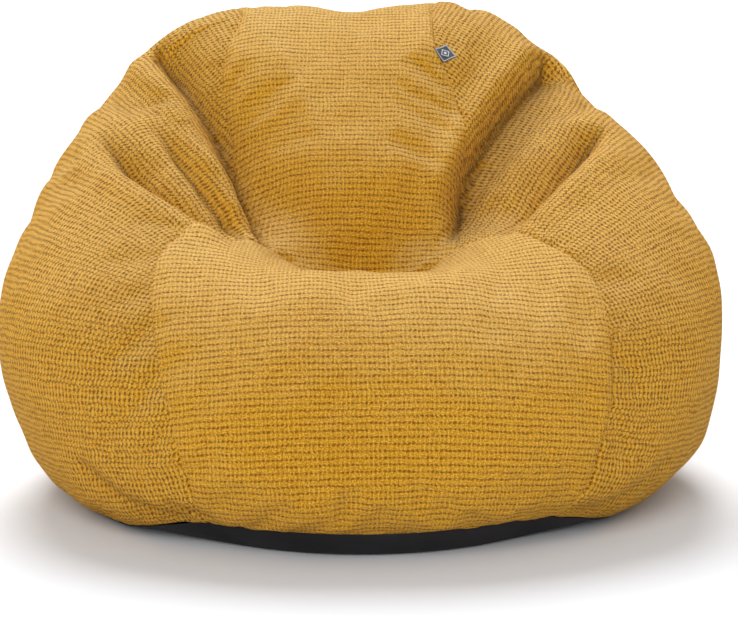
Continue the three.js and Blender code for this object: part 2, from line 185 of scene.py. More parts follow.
@dataclass(frozen=True)
class BagForm:
    """The bag's outer form in millimetres, by angle from the front and by level.

    Level 0 is the foot seam, 1 the belly, 2 the rim and 3 the bottom of the seat's hollow. A place
    is also given on a flat disc of radius 3, where the hollow's bottom is no special point.
    A dip is an angle, a width in degrees and a rise of the rim. A bulge is a side, a height, a
    width and a reach. The hollow is its bottom's place from front to back and its height.
    """

    rim_radius: Stations = (
        (0, 195), (28, 215), (52, 226), (68, 260), (90, 307), (105, 340),
        (118, 356), (130, 357), (142, 343), (153, 325), (165, 301), (180, 279),
    )
    rim_height: Stations = (
        (0, 326), (28, 328), (52, 345), (68, 365), (90, 421), (105, 473),
        (118, 510), (130, 565), (142, 608), (153, 625), (165, 625), (180, 619),
    )
    belly_radius: Stations = (
        (0, 362), (25, 378), (45, 400), (70, 452), (90, 477), (115, 460), (145, 452), (180, 452),
    )
    belly_height: Stations = (
        (0, 100), (25, 110), (45, 150), (70, 205), (90, 228), (115, 222), (145, 200), (180, 200),
    )
    foot_radius: Stations = (
        (0, 334), (32, 336), (44, 356), (60, 362), (90, 376), (108, 368), (124, 350), (180, 350),
    )
    foot_height: Stations = (
        (0, 34), (37, 33), (44, 26), (50, 17), (57, 9), (68, 6), (90, 6), (108, 8), (124, 66), (180, 66),
    )
    shoulder_fullness: Stations = (
        (0, 1.5), (30, 1.55), (60, 1.8), (90, 2.0), (120, 2.1), (150, 1.7), (180, 1.6),
    )
    foot_fullness: Stations = ((0, 1.9), (45, 1.7), (90, 1.65), (180, 1.8))
    hollow: tuple[float, float] = (-52, 268)
    lean: float = -4
    dips: tuple[tuple[float, float, float], ...] = (
        (48, 20, -17), (-42, 18, -7), (150, 14, 4), (-155, 14, -2),
    )
    bulges: tuple[tuple[float, float, float, float], ...] = (
        (1, 105, 75, 9), (1, 62, 30, 9), (-1, 330, 130, -7),
    )

    def surface(self, degrees: np.ndarray, level: np.ndarray) -> np.ndarray:
        """Points of the form.

        Args:
            degrees: Angles from the front.
            level: Levels from 0 to 3.

        Returns:
            Positions in millimetres, (..., 3).
        """
        degrees, level = np.broadcast_arrays(np.asarray(degrees, float), np.asarray(level, float))
        rim_r, rim_z = between(self.rim_radius, degrees), between(self.rim_height, degrees)
        signed = (degrees + 180) % 360 - 180
        for middle, width, rise in self.dips:
            rim_z = rim_z + rise * bell(signed - middle, width)
        belly_r, belly_z = between(self.belly_radius, degrees), between(self.belly_height, degrees)
        foot_r, foot_z = between(self.foot_radius, degrees), between(self.foot_height, degrees)
        low_power = 2 / between(self.foot_fullness, degrees)
        high_power = 2 / between(self.shoulder_fullness, degrees)
        turn = np.clip(level, 0, 1) * math.pi / 2
        low_r = foot_r + (belly_r - foot_r) * np.sin(turn) ** low_power
        low_z = belly_z - (belly_z - foot_z) * np.cos(turn) ** low_power
        turn = np.clip(level - 1, 0, 1) * math.pi / 2
        high_r = rim_r + (belly_r - rim_r) * np.cos(turn) ** high_power
        high_z = belly_z + (rim_z - belly_z) * np.sin(turn) ** high_power
        out = np.clip(3 - level, 0, 1)
        back = smooth_step(60, 150, around(degrees))
        wall = np.clip((out - 0.06) / 0.94, 0, 1)
        leaning = 0.06 * smooth_step(0, 0.15, out) + 0.94 * (1 - (1 - wall) ** 1.75) ** (1 / 1.28)
        share = smooth_step(0, 1, out) * (1 - back) + leaning * back
        inner_z = self.hollow[1] + (rim_z - self.hollow[1]) * share
        inner_y = self.hollow[0] * (1 - smooth_step(0, 0.95, out))
        radius = np.where(level < 1, low_r, np.where(level < 2, high_r, rim_r * out))
        z = np.where(level < 1, low_z, np.where(level < 2, high_z, inner_z))
        t = np.radians(degrees)
        y = np.where(level < 2, 0, inner_y) - radius * np.cos(t)
        x = radius * np.sin(t) + self.lean * (smooth_step(330, 600, z) + bell(z - 578, 24))
        for side, height, width, reach in self.bulges:
            facing = smooth_step(0.35, 0.95, side * np.sin(t))
            x = x + side * reach * bell(z - height, width) * facing * (level < 2.6)
        return np.stack([x, y, z], -1)

    @staticmethod
    def on_disc(degrees: Any, level: Any) -> np.ndarray:
        """The flat disc's point for an angle and a level.

        Args:
            degrees: Angles from the front.
            level: Levels from 0 to 3.

        Returns:
            Disc points, (..., 2).
        """
        t = np.radians(np.asarray(degrees, float))
        reach = 3 - np.asarray(level, float)
        return np.stack(np.broadcast_arrays(reach * np.sin(t), -reach * np.cos(t)), -1)

    def at(self, disc: np.ndarray) -> np.ndarray:
        """Points of the form over points of the disc."""
        degrees = np.degrees(np.arctan2(disc[..., 0], -disc[..., 1]))
        return self.surface(degrees, 3 - np.hypot(disc[..., 0], disc[..., 1]))

    def normal(self, disc: np.ndarray, step: float = 0.015) -> np.ndarray:
        """Outward unit normals over points of the disc.

        Args:
            disc: Disc points, (..., 2).
            step: The step on the disc that they are evened out over.

        Returns:
            Unit normals, (..., 3).
        """
        reach = np.hypot(disc[..., 0], disc[..., 1])[..., None]
        held = disc * np.minimum(1, (3 - 1.5 * step) / np.maximum(reach, 1e-6))
        side, up = np.array([step, 0]), np.array([0, step])
        along = np.cross(self.at(held + side) - self.at(held - side), self.at(held + up) - self.at(held - up))
        return along / np.maximum(np.linalg.norm(along, axis=-1, keepdims=True), 1e-9)


@dataclass(frozen=True)
class Fold:
    """A crease in the cover along a path, in millimetres.

    One side drops steeply from a soft roll and the other rises gently. Seen from outside along the
    path, the steep side is on the left when `steep` is 1 and on the right when it is -1.
    """

    path: tuple[tuple[float, float], ...]
    depth: float
    gentle: float = 26
    sharp: float = 8
    steep: int = 1
    roll: float = 8
    roll_at: float = 30
    roll_width: float = 22
    fade_in: float = 0.1
    fade_out: float = 0.25
    bottom: float = 2.5

    def trace(self, form: BagForm) -> tuple[np.ndarray, np.ndarray]:
        """The path as closely set points on the form.

        Args:
            form: The bag's form.

        Returns:
            The points and the normals there, each (n, 3).
        """
        degrees, level = np.array(self.path, float).T
        places = form.on_disc(degrees, level)
        t = np.linspace(0, 1, 80)
        knots = np.linspace(0, 1, len(self.path))
        smooth = np.stack([np.interp(t, knots, places[:, k]) for k in (0, 1)], -1)
        for _ in range(25):
            smooth[1:-1] = (smooth[:-2] + 2 * smooth[1:-1] + smooth[2:]) / 4
        return form.at(smooth), form.normal(smooth)

    def lift(self, form: BagForm, points: np.ndarray) -> tuple[np.ndarray, np.ndarray]:
        """How far the fold moves the cover out, negative inwards, and how much shade is painted inside it.

        Args:
            form: The bag's form.
            points: Positions on the form, (n, 3).

        Returns:
            Distances in millimetres, (n,), and painted shade from 0 to 1, (n,).
        """
        path, normals = self.trace(form)
        total, shade = np.zeros(len(points)), np.zeros(len(points))
        low, high = path.min(0) - 120, path.max(0) + 120
        near = np.flatnonzero(np.all((points > low) & (points < high), axis=1))
        if not len(near):
            return total, shade
        some = points[near]
        apart = np.linalg.norm(some[:, None, :] - path[None], axis=-1)
        nearest = apart.argmin(1)
        gap = apart[np.arange(len(some)), nearest]
        way = np.gradient(path, axis=0)
        side = np.cross(normals, way)
        side /= np.linalg.norm(side, axis=-1, keepdims=True)
        signed = np.einsum("ij,ij->i", some - path[nearest], side[nearest]) * self.steep
        leaning = smooth_step(-6, 6, signed)
        t = nearest / (len(path) - 1)
        share = smooth_step(0, self.fade_in, t) * smooth_step(0, self.fade_out, 1 - t)
        past_end = np.maximum(0, gap - np.abs(signed)) * ((nearest == 0) | (nearest == len(path) - 1))
        share = share * np.exp(-past_end / 12)
        width = self.gentle + (self.sharp - self.gentle) * leaning
        crease = -self.depth * np.exp(-(np.sqrt(gap**2 + self.bottom**2) - self.bottom) / width)
        total[near] = share * (crease + self.roll * leaning * bell(gap - self.roll_at, self.roll_width))
        # painted shade: dark along the crease and down its gentle side
        dark = 0.75 * bell(gap, 4.5) + 0.3 * (1 - leaning) * np.exp(-gap / (0.5 * self.gentle))
        shade[near] = np.sqrt(share) * dark * min(1, self.depth / 40)
        return total, shade


def mirrored(path: Iterable[tuple[float, float]]) -> tuple[tuple[float, float], ...]:
    """The same path on the other side of the bag."""
    return tuple((-degrees, level) for degrees, level in path)


@dataclass(frozen=True)
class Creases:
    """The folds beside the backrest, where the arms meet it, and the small ones near the floor."""

    left_deep: Fold = Fold(
        ((-134, 1.84), (-129, 2.05), (-124.5, 2.2), (-119, 2.4), (-108.5, 2.53), (-98, 2.57), (-80, 2.54)),
        46, gentle=38, sharp=8, steep=-1, roll=12, roll_at=30, fade_in=0.24,
    )
    left_arm: Fold = Fold(
        ((-104, 1.9), (-94, 2.0), (-84.8, 2.08), (-78.5, 2.16), (-72, 2.24), (-66, 2.32)),
        40, gentle=28, sharp=9, steep=-1, roll=10, roll_at=34, fade_in=0.34,
    )
    left_inner: Fold = Fold(
        ((-109, 2.15), (-104, 2.23), (-96, 2.32), (-86, 2.4), (-78, 2.44)),
        22, gentle=13, sharp=7, steep=-1, roll=5, roll_at=20, fade_in=0.4,
    )
    left_hint: Fold = Fold(
        ((-121, 1.8), (-114, 1.98), (-109, 2.12)), 7, gentle=14, sharp=9, steep=-1, roll=3, fade_in=0.4,
    )
    right_deep: Fold = Fold(
        ((131, 1.84), (127, 1.99), (123.5, 2.17), (121, 2.36), (117, 2.54), (106, 2.63), (90, 2.64)),
        52, gentle=42, sharp=9, steep=-1, roll=12, roll_at=30, fade_in=0.22,
    )
    right_arm: Fold = Fold(
        ((106, 1.92), (101, 2.02), (96, 2.1), (90, 2.19), (82, 2.28), (73, 2.37)),
        40, gentle=32, sharp=11, steep=1, roll=10, roll_at=36, fade_in=0.3,
    )
    right_hint: Fold = Fold(
        ((118, 1.86), (114, 2.0), (110, 2.16)), 8, gentle=16, sharp=10, roll=3, fade_in=0.3,
    )
    ridge_tuck: Fold = Fold(
        ((150, 1.88), (147, 2.0), (143, 2.12)), 6, gentle=12, sharp=9, roll=2, roll_at=18,
    )
    foot_left: Fold = Fold(
        ((-60, 0.66), (-50, 0.47), (-42, 0.32), (-37, 0.2)), 11, gentle=12, sharp=8, roll=4, roll_at=22,
    )
    foot_left_inner: Fold = Fold(
        ((-41, 0.5), (-36, 0.38), (-31, 0.28)), 6, gentle=10, sharp=7, roll=3, roll_at=18,
    )
    foot_right: Fold = Fold(
        ((62, 0.62), (52, 0.46), (44, 0.32), (39, 0.22)), 6, gentle=12, sharp=9, steep=-1, roll=3,
    )
    rear_left: Fold = Fold(
        ((-141, 0.16), (-136, 0.55), (-134, 1.0), (-139, 1.45)), 12, gentle=20, sharp=11, roll=5,
    )
    rear_right: Fold = Fold(
        ((143, 0.14), (137, 0.5), (134, 0.9), (137, 1.35)), 13, gentle=20, sharp=11, steep=-1, roll=5,
    )
    rear_middle: Fold = Fold(((171, 0.12), (176, 0.4), (182, 0.75)), 7, gentle=16, sharp=10, roll=3)
    side_left: Fold = Fold(((-112, 0.08), (-104, 0.32), (-98, 0.62)), 8, gentle=16, sharp=10, roll=4)
    side_right: Fold = Fold(((108, 0.08), (101, 0.34), (96, 0.66)), 8, gentle=16, sharp=10, steep=-1, roll=4)

    def all(self) -> list[Fold]:
        """Every fold."""
        return [value for value in vars(self).values() if isinstance(value, Fold)]

    def soft(self, form: BagForm, disc: np.ndarray) -> np.ndarray:
        """The rounded swells of the filling, with no sharp crease: lumbar roll and unevenness.

        Args:
            form: The bag's form.
            disc: Disc points, (..., 2).

        Returns:
            Distances outwards in millimetres, (...).
        """
        points = form.at(disc)
        degrees = np.degrees(np.arctan2(disc[..., 0], -disc[..., 1]))
        level = 3 - np.hypot(disc[..., 0], disc[..., 1])
        behind = smooth_step(105, 140, around(degrees)) * smooth_step(2.15, 2.4, level)
        calm = smooth_step(0, 0.35, level)
        swell = 2.0 * calm
        lumbar = 4 * behind * bell(points[..., 2] - 425, 42)
        shallow = -3 * behind * bell(points[..., 2] - 500, 50)
        uneven = 2.2 * ripple(points, 210, 1.0) + 0.9 * ripple(points, 85, 2.0)
        return swell + lumbar + shallow + calm * uneven

    def sharp(self, form: BagForm, disc: np.ndarray) -> tuple[np.ndarray, np.ndarray]:
        """The creases and their rolls, evened out once over each point's neighbours.

        Args:
            form: The bag's form.
            disc: A grid of disc points, (rows, columns, 2).

        Returns:
            Distances outwards in millimetres and the painted shade inside the creases, each (rows, columns).
        """
        flat = form.at(disc).reshape(-1, 3)
        total, shade = np.zeros(len(flat)), np.zeros(len(flat))
        for fold in self.all():
            moved, dark = fold.lift(form, flat)
            total += moved
            shade = np.maximum(shade, dark)
        total = total.reshape(disc.shape[:-1])
        total[1:-1, 1:-1] = (0.5 * total + 0.5 * beside_mean(total))[1:-1, 1:-1]
        return total, shade.reshape(disc.shape[:-1])


# ---------------------------------------------------------------- shader maths


class Signal:
    """A node's output that can be used in arithmetic, each operation adding one Math node."""

    def __init__(self, sheet: "NodeSheet", socket: bpy.types.NodeSocket) -> None:
        """Wraps a socket of a material's node tree."""
        self.sheet = sheet
        self.socket = socket

    def _math(self, operation: str, *others: Any) -> "Signal":
        """One Math node on this value and others."""
        return self.sheet.math(operation, self, *others)

    def __add__(self, other: Any) -> "Signal":
        """Sum."""
        return self._math("ADD", other)

    __radd__ = __add__

    def __sub__(self, other: Any) -> "Signal":
        """Difference."""
        return self._math("SUBTRACT", other)

    def __rsub__(self, other: Any) -> "Signal":
        """Difference from a number."""
        return self.sheet.math("SUBTRACT", other, self)

    def __mul__(self, other: Any) -> "Signal":
        """Product."""
        return self._math("MULTIPLY", other)

    __rmul__ = __mul__

    def __truediv__(self, other: Any) -> "Signal":
        """Quotient."""
        return self._math("DIVIDE", other)

    def __pow__(self, other: Any) -> "Signal":
        """Power."""
        return self._math("POWER", other)

    def __abs__(self) -> "Signal":
        """Size without sign."""
        return self._math("ABSOLUTE")

    def fraction(self) -> "Signal":
        """The part after the decimal point."""
        return self._math("FRACT")

    def floor(self) -> "Signal":
        """The whole part."""
        return self._math("FLOOR")

    def least(self, other: Any) -> "Signal":
        """The smaller of two values."""
        return self._math("MINIMUM", other)

    def most(self, other: Any) -> "Signal":
        """The larger of two values."""
        return self._math("MAXIMUM", other)

    def step(self, low: float, high: float) -> "Signal":
        """A soft step.

        Args:
            low: Where the step starts, at 0.
            high: Where the step ends, at 1.

        Returns:
            Values from 0 to 1.
        """
        node = self.sheet.node(
            "ShaderNodeMapRange",
            {"interpolation_type": "SMOOTHSTEP"},
            {"Value": self, "From Min": low, "From Max": high},
        )
        return Signal(self.sheet, node.outputs["Result"])


class NodeSheet:
    """A new material and short ways to add its nodes."""

    def __init__(self, name: str) -> None:
        """Starts a material with one Principled shader.

        Args:
            name: The material's name.
        """
        self.material = bpy.data.materials.new(name)
        self.material.use_nodes = True
        self.tree = self.material.node_tree
        self.shader = next(n for n in self.tree.nodes if n.type == "BSDF_PRINCIPLED")

    def node(self, kind: str, settings: dict[str, Any], inputs: dict[str, Any]) -> bpy.types.Node:
        """Adds a node.

        Args:
            kind: The node's type.
            settings: Properties set before its sockets, such as a Math node's operation.
            inputs: Values, sockets or signals by socket name or number.

        Returns:
            The node.
        """
        made = self.tree.nodes.new(kind)
        for key, value in settings.items():
            setattr(made, key, value)
        for key, value in inputs.items():
            self.feed(made.inputs[key], value)
        return made

    def feed(self, socket: bpy.types.NodeSocket, value: Any) -> None:
        """Sets a socket's value, or links a signal or socket to it.

        Args:
            socket: The socket to feed.
            value: A number, a colour, a socket or a signal.
        """
        if isinstance(value, Signal):
            self.tree.links.new(value.socket, socket)
        elif isinstance(value, bpy.types.NodeSocket):
            self.tree.links.new(value, socket)
        elif isinstance(value, tuple) and len(value) == 3 and socket.type == "RGBA":
            socket.default_value = (*value, 1)
        else:
            socket.default_value = value

    def math(self, operation: str, *values: Any) -> Signal:
        """One Math node on numbers or signals."""
        node = self.node("ShaderNodeMath", {"operation": operation}, dict(enumerate(values)))
        return Signal(self, node.outputs[0])

    def mix(self, share: Any, first: Any, second: Any) -> bpy.types.NodeSocket:
        """A colour between two, by a share from 0 to 1."""
        node = self.node("ShaderNodeMix", {"data_type": "RGBA"}, {0: share, 6: first, 7: second})
        return node.outputs[2]

    def noise(self, vector: Any, scale: float, detail: float = 2, flat: bool = False) -> Signal:
        """Smooth noise from 0 to 1 over a vector.

        Args:
            vector: The socket or signal that it is read at.
            scale: Its fineness.
            detail: How many finer layers it has.
            flat: Whether only the vector's first two values count.

        Returns:
            The noise.
        """
        settings = {"noise_dimensions": "2D" if flat else "3D"}
        node = self.node("ShaderNodeTexNoise", settings, {"Vector": vector, "Scale": scale, "Detail": detail})
        return Signal(self, node.outputs[0])

    def speckle(self, *values: Any) -> Signal:
        """An unrelated value for each set of whole numbers.

        Args:
            values: Up to three signals or numbers.

        Returns:
            Values from 0 to 1.
        """
        vector = self.node("ShaderNodeCombineXYZ", {}, dict(enumerate(values)))
        node = self.node("ShaderNodeTexWhiteNoise", {"noise_dimensions": "3D"}, {"Vector": vector.outputs[0]})
        return Signal(self, node.outputs[0])

    def place(self) -> bpy.types.NodeSocket:
        """The point's place in the piece, in metres."""
        return self.node("ShaderNodeTexCoord", {}, {}).outputs["Object"]

    def threads(self) -> tuple[Signal, Signal, bpy.types.NodeSocket]:
        """The weave's thread counts, from the piece's flat cut.

        Returns:
            The count across, the count up and both as a vector.
        """
        uv = self.node("ShaderNodeUVMap", {"uv_map": WEAVE_MAP}, {}).outputs["UV"]
        split = self.node("ShaderNodeSeparateXYZ", {}, {0: uv})
        return Signal(self, split.outputs[0]), Signal(self, split.outputs[1]), uv

    def bump(self, height: Signal, distance: float, strength: float = 1.0) -> bpy.types.NodeSocket:
        """A normal bent by a height, where a height of 1 stands a distance in metres proud."""
        inputs = {"Height": height, "Distance": distance, "Strength": strength}
        return self.node("ShaderNodeBump", {}, inputs).outputs["Normal"]

    def finish(self, **sockets: Any) -> bpy.types.Material:
        """Feeds the shader's sockets.

        Args:
            sockets: Values by socket name, with spaces written as underscores.

        Returns:
            The finished material.
        """
        for name, value in sockets.items():
            self.feed(self.shader.inputs[name.replace("_", " ")], value)
        return self.material


# ---------------------------------------------------------------- finishes


@dataclass(frozen=True)
class WovenCover:
    """Chunky chenille weave: thick fuzzy threads both ways with small dark gaps between them.

    An open mesh of 1 is a stretched cut, whose threads wander and whose gaps show both ways. 0 is a
    slack one, with broad ribs and dashed gaps. Row and column edges are 1 between two threads.
    """

    name: str = "cover_fabric"
    rib: Colour = (0.6, 0.238, 0.004)
    gap: Colour = (0.29, 0.094, 0.0008)
    tip: Colour = (1.0, 0.56, 0.055)
    # paler colour and share of the painted highlight on faces that turn up
    painted_top_highlight: Colour = (1.0, 0.75, 0.32)
    top_highlight_share: float = 0.5
    # colour of the painted shade laid into the creases of the deep folds
    painted_fold_shade: Colour = (0.17, 0.052, 0.0008)
    open_mesh: float = 0.0
    relief: float = 2.0 * MM

    def material(self) -> bpy.types.Material:
        """Builds the finish.

        Returns:
            The material.
        """
        s = NodeSheet(self.name)
        u, v, uv = s.threads()
        sway = s.noise(uv, 0.5, 3, flat=True) - 0.5
        drift = s.noise(uv, 0.17, 1, flat=True) - 0.5
        tremble = s.noise(uv, 1.7, 2, flat=True) - 0.5
        open_mesh = self.open_mesh
        row = v + (sway + drift) * (0.3 + 0.3 * open_mesh) + tremble * (0.26 + 0.3 * open_mesh)
        row_number = row.floor()
        lean = (s.speckle(row_number, 7.0, 3.0) - 0.5) * (0.3 + 0.4 * open_mesh)
        wander = sway * 0.5 - drift * 0.4 + tremble * (0.4 + 0.25 * open_mesh)
        column = u * (1.5 - 0.25 * open_mesh) + wander + lean
        column_number = column.floor()
        cell = s.speckle(column_number, row_number, 1.0)
        row_edge = abs(row.fraction() - 0.5) * 2
        column_edge = abs(column.fraction() - 0.5) * 2
        fuzz = s.noise(uv, 4.3, 3, flat=True)
        hair = s.noise(uv, 10.0, 2, flat=True)
        tuft = s.noise(uv, 1.5, 3, flat=True)
        grain = (fuzz - 0.5) * 2.3 + (hair - 0.5) * 2.0
        start = 0.48 - 0.12 * open_mesh
        between_rows = (row_edge + grain * 0.16).step(start, start + 0.4)
        runs = s.speckle(column_number, (row_number / 5).floor(), 9.0)
        wide = 0.3 - 0.06 * open_mesh
        strong = (0.5 + 0.3 * open_mesh + 0.5 * runs).least(1.0)
        upright = (column_edge + grain * 0.2).step(wide, wide + 0.45) * strong
        beside = (1 - abs(column_edge - 0.22) * 4.5).most(0.0) * (0.3 + 0.7 * cell)
        patchy = s.noise(uv, 0.6, 2, flat=True).step(0.28, 0.62)
        hole = between_rows * (1 - upright * 0.9) * (0.5 + 0.25 * open_mesh + 0.45 * patchy)
        shade = beside * (1 - between_rows) * (0.36 + 0.44 * open_mesh)
        gaps = (hole + shade).least(1.0)
        worn = s.noise(s.place(), 4.0, 3)
        light = (
            0.46 + 1.7 * grain + 1.0 * (tuft - 0.5) + (0.14 + 0.4 * open_mesh) * (cell - 0.5)
            + 0.5 * (worn - 0.5) + (0.16 + 0.1 * open_mesh) * upright
        )
        ribs = s.mix(light.most(0.0).least(1.0), self.rib, self.tip)
        # painted highlight: faces that turn up are mixed towards a paler colour, as if lit from above
        normal = s.node("ShaderNodeNewGeometry", {}, {}).outputs["Normal"]
        upwards = s.node("ShaderNodeSeparateXYZ", {}, {0: normal}).outputs[2]
        facing_up = Signal(s, upwards).step(0.3, 1.05)
        painted_highlight_mask = facing_up * self.top_highlight_share * (0.8 + 0.9 * grain + 0.8 * (worn - 0.5)).most(0.0)
        pile = s.mix(painted_highlight_mask, ribs, self.painted_top_highlight)
        colour = s.mix((gaps - 0.12 * grain).most(0.0).least(1.0), pile, self.gap)
        # painted shade: the cover darkens inside the folds' creases by the shade stored on each point
        crease = s.node("ShaderNodeAttribute", {"attribute_name": PAINTED_CREASE_SHADE}, {}).outputs["Fac"]
        colour = s.mix(crease, colour, self.painted_fold_shade)
        height = (
            1 - 0.75 * row_edge**3.0 * (1 - 0.5 * upright) - 0.85 * hole - 0.35 * shade + 0.25 * upright
            + 0.5 * grain + 0.5 * (tuft - 0.5) + 0.15 * (cell - 0.5)
        )
        return s.finish(
            Base_Color=colour,
            Roughness=0.86 + 0.1 * gaps,
            Normal=s.bump(height, self.relief),
            Sheen_Weight=0.22,
            Sheen_Roughness=0.25,
            Sheen_Tint=(1.0, 0.78, 0.42),
            Specular_IOR_Level=0.12,
        )


@dataclass(frozen=True)
class FineCloth:
    """A plain fine weave, such as coated base fabric, lining or zip tape."""

    name: str
    colour: Colour
    roughness: float
    thread: float = 0.7 * MM
    relief: float = 0.12 * MM
    sheen: float = 0.0
    wear: float = 0.2
    gloss: float = 0.5

    def material(self) -> bpy.types.Material:
        """Builds the finish.

        Returns:
            The material.
        """
        s = NodeSheet(self.name)
        place = s.place()
        split = s.node("ShaderNodeSeparateXYZ", {}, {0: place})
        x, y, z = (Signal(s, split.outputs[k]) for k in range(3))
        warp = abs(((x + y * 0.31) / self.thread).fraction() - 0.5) * 2
        weft = abs(((z + y * 0.95 - x * 0.31) / self.thread).fraction() - 0.5) * 2
        cloudy = s.noise(place, 9.0, 4)
        light = tuple(min(1.0, c * (1 + self.wear) + 0.012 * self.wear) for c in self.colour)
        dark = tuple(c * (1 - self.wear) for c in self.colour)
        return s.finish(
            Base_Color=s.mix(cloudy.step(0.3, 0.7), dark, light),
            Roughness=self.roughness + 0.12 * (cloudy - 0.5),
            Normal=s.bump(warp * weft + 0.6 * cloudy, self.relief),
            Sheen_Weight=self.sheen,
            Specular_IOR_Level=self.gloss,
        )


@dataclass(frozen=True)
class CastMetal:
    """Black painted die-cast metal, rubbed a little bare."""

    name: str = "zip_metal"

    def material(self) -> bpy.types.Material:
        """Builds the finish.

        Returns:
            The material.
        """
        s = NodeSheet(self.name)
        rub = s.noise(s.place(), 320.0, 3).step(0.55, 0.75)
        return s.finish(
            Base_Color=s.mix(rub, (0.02, 0.02, 0.022), (0.11, 0.108, 0.105)),
            Roughness=0.38 + 0.2 * rub,
            Metallic=0.35 + 0.55 * rub,
            Normal=s.bump(s.noise(s.place(), 700.0, 2), 0.05 * MM),
        )


@dataclass(frozen=True)
class CoilPlastic:
    """Black nylon of the zips' coils."""

    name: str = "zip_chain"

    def material(self) -> bpy.types.Material:
        """Builds the finish.

        Returns:
            The material.
        """
        s = NodeSheet(self.name)
        cloudy = s.noise(s.place(), 260.0, 2)
        return s.finish(
            Base_Color=s.mix(cloudy, (0.012, 0.012, 0.013), (0.03, 0.029, 0.03)),
            Roughness=0.34 + 0.16 * cloudy,
            Normal=s.bump(cloudy, 0.04 * MM),
        )


@dataclass(frozen=True)
class WovenTag:
    """Dark damask tag with a light edge and two plain nested diamonds, over a map from 0 to 1."""

    name: str = "woven_label"
    ground: Colour = (0.016, 0.02, 0.034)
    thread: Colour = (0.62, 0.63, 0.64)

    def material(self) -> bpy.types.Material:
        """Builds the finish.

        Returns:
            The material.
        """
        s = NodeSheet(self.name)
        u, v, _ = s.threads()
        across, up = u - 0.5, v - 0.5
        rim = abs(across).most(abs(up))
        edge = rim.step(0.42, 0.44) * (1 - rim.step(0.47, 0.49))
        diamond = abs(across) + abs(up)
        ring = diamond.step(0.24, 0.26) * (1 - diamond.step(0.31, 0.33))
        mark = (edge * 0.8).most(ring * 0.9).most(1 - diamond.step(0.1, 0.12))
        twill = abs(((u + v) * 34).fraction() - 0.5) * 2
        colour = s.mix(mark * (0.8 + 0.2 * twill), self.ground, self.thread)
        return s.finish(
            Base_Color=colour,
            Roughness=0.62 + 0.2 * twill,
            Normal=s.bump(twill * 0.6 + mark, 0.18 * MM),
            Sheen_Weight=0.15,
        )


@dataclass(frozen=True)
class Satin:
    """Blank white satin of the sewn-in care label."""

    name: str = "care_label"

    def material(self) -> bpy.types.Material:
        """Builds the finish.

        Returns:
            The material.
        """
        s = NodeSheet(self.name)
        u, v, _ = s.threads()
        float_yarn = abs((v * 60).fraction() - 0.5) * 2
        hem = abs(u - 0.5).step(0.44, 0.47)
        colour = s.mix(hem, (0.78, 0.76, 0.72), (0.66, 0.64, 0.6))
        return s.finish(
            Base_Color=colour,
            Roughness=0.42 + 0.15 * float_yarn,
            Normal=s.bump(float_yarn + 2 * hem, 0.06 * MM),
            Sheen_Weight=0.2,
        )


@dataclass(frozen=True)
class FoamBeads:
    """Loose white foam beads pressed together."""

    name: str = "bead_foam"
    bead: float = 5 * MM

    def material(self) -> bpy.types.Material:
        """Builds the finish.

        Returns:
            The material.
        """
        s = NodeSheet(self.name)
        inputs = {"Vector": s.place(), "Scale": 1 / self.bead}
        cells = s.node("ShaderNodeTexVoronoi", {"feature": "F1"}, inputs)
        away = Signal(s, cells.outputs["Distance"])
        # painted shade: darker towards each bead's edge, in the crevices where the beads meet
        return s.finish(
            Base_Color=s.mix(away.step(0.35, 0.8), (0.88, 0.87, 0.84), (0.45, 0.44, 0.42)),
            Roughness=0.7 + 0.1 * away,
            Normal=s.bump(1 - away**2.0, 1.2 * MM),
        )


@dataclass(frozen=True)
class StudioFloor:
    """Matt white floor."""

    name: str = "floor"

    def material(self) -> bpy.types.Material:
        """Builds the finish.

        Returns:
            The material.
        """
        s = NodeSheet(self.name)
        return s.finish(Base_Color=(0.71, 0.72, 0.74), Roughness=0.8, Specular_IOR_Level=0.2)


# ---------------------------------------------------------------- mesh helpers


def make_piece(
    name: str,
    points: np.ndarray,
    faces: Sequence[Sequence[int]],
    material: bpy.types.Material,
    weave: np.ndarray | None = None,
    sharp: float = 50,
) -> bpy.types.Object:
    """A smooth-shaded object.

    Args:
        name: The piece's name.
        points: Positions in millimetres, (n, 3).
        faces: Point numbers of each face.
        material: Its finish.
        weave: The weave map's value at each point, (n, 2).
        sharp: Edges that turn more than this many degrees stay crisp.

    Returns:
        The linked object.
    """
    mesh = bpy.data.meshes.new(name)
    mesh.from_pydata([tuple(p) for p in np.asarray(points) * MM], [], [tuple(f) for f in faces])
    if weave is not None:
        numbers = np.empty(len(mesh.loops), np.int32)
        mesh.loops.foreach_get("vertex_index", numbers)
        layer = mesh.uv_layers.new(name=WEAVE_MAP)
        layer.data.foreach_set("uv", np.asarray(weave, np.float32)[numbers].ravel())
    mesh.polygons.foreach_set("use_smooth", np.ones(len(mesh.polygons), bool))
    mesh.set_sharp_from_angle(angle=math.radians(sharp))
    mesh.materials.append(material)
    piece = bpy.data.objects.new(name, mesh)
    bpy.context.scene.collection.objects.link(piece)
    return piece


def grid_faces(rows: int, columns: int, first: int = 0, flip: bool = False, wrap: bool = False) -> np.ndarray:
    """The quads of a grid of points.

    Args:
        rows: Points down the grid.
        columns: Points across it.
        first: The first point's number.
        flip: Whether the faces look the other way.
        wrap: Whether the last column joins the first.

    Returns:
        Point numbers, (n, 4).
    """
    i, j = np.meshgrid(np.arange(rows - 1), np.arange(columns if wrap else columns - 1), indexing="ij")
    after = (j + 1) % columns
    quads = [i * columns + j, i * columns + after, (i + 1) * columns + after, (i + 1) * columns + j]
    faces = np.stack([q.ravel() for q in quads], -1) + first
    return faces[:, ::-1] if flip else faces


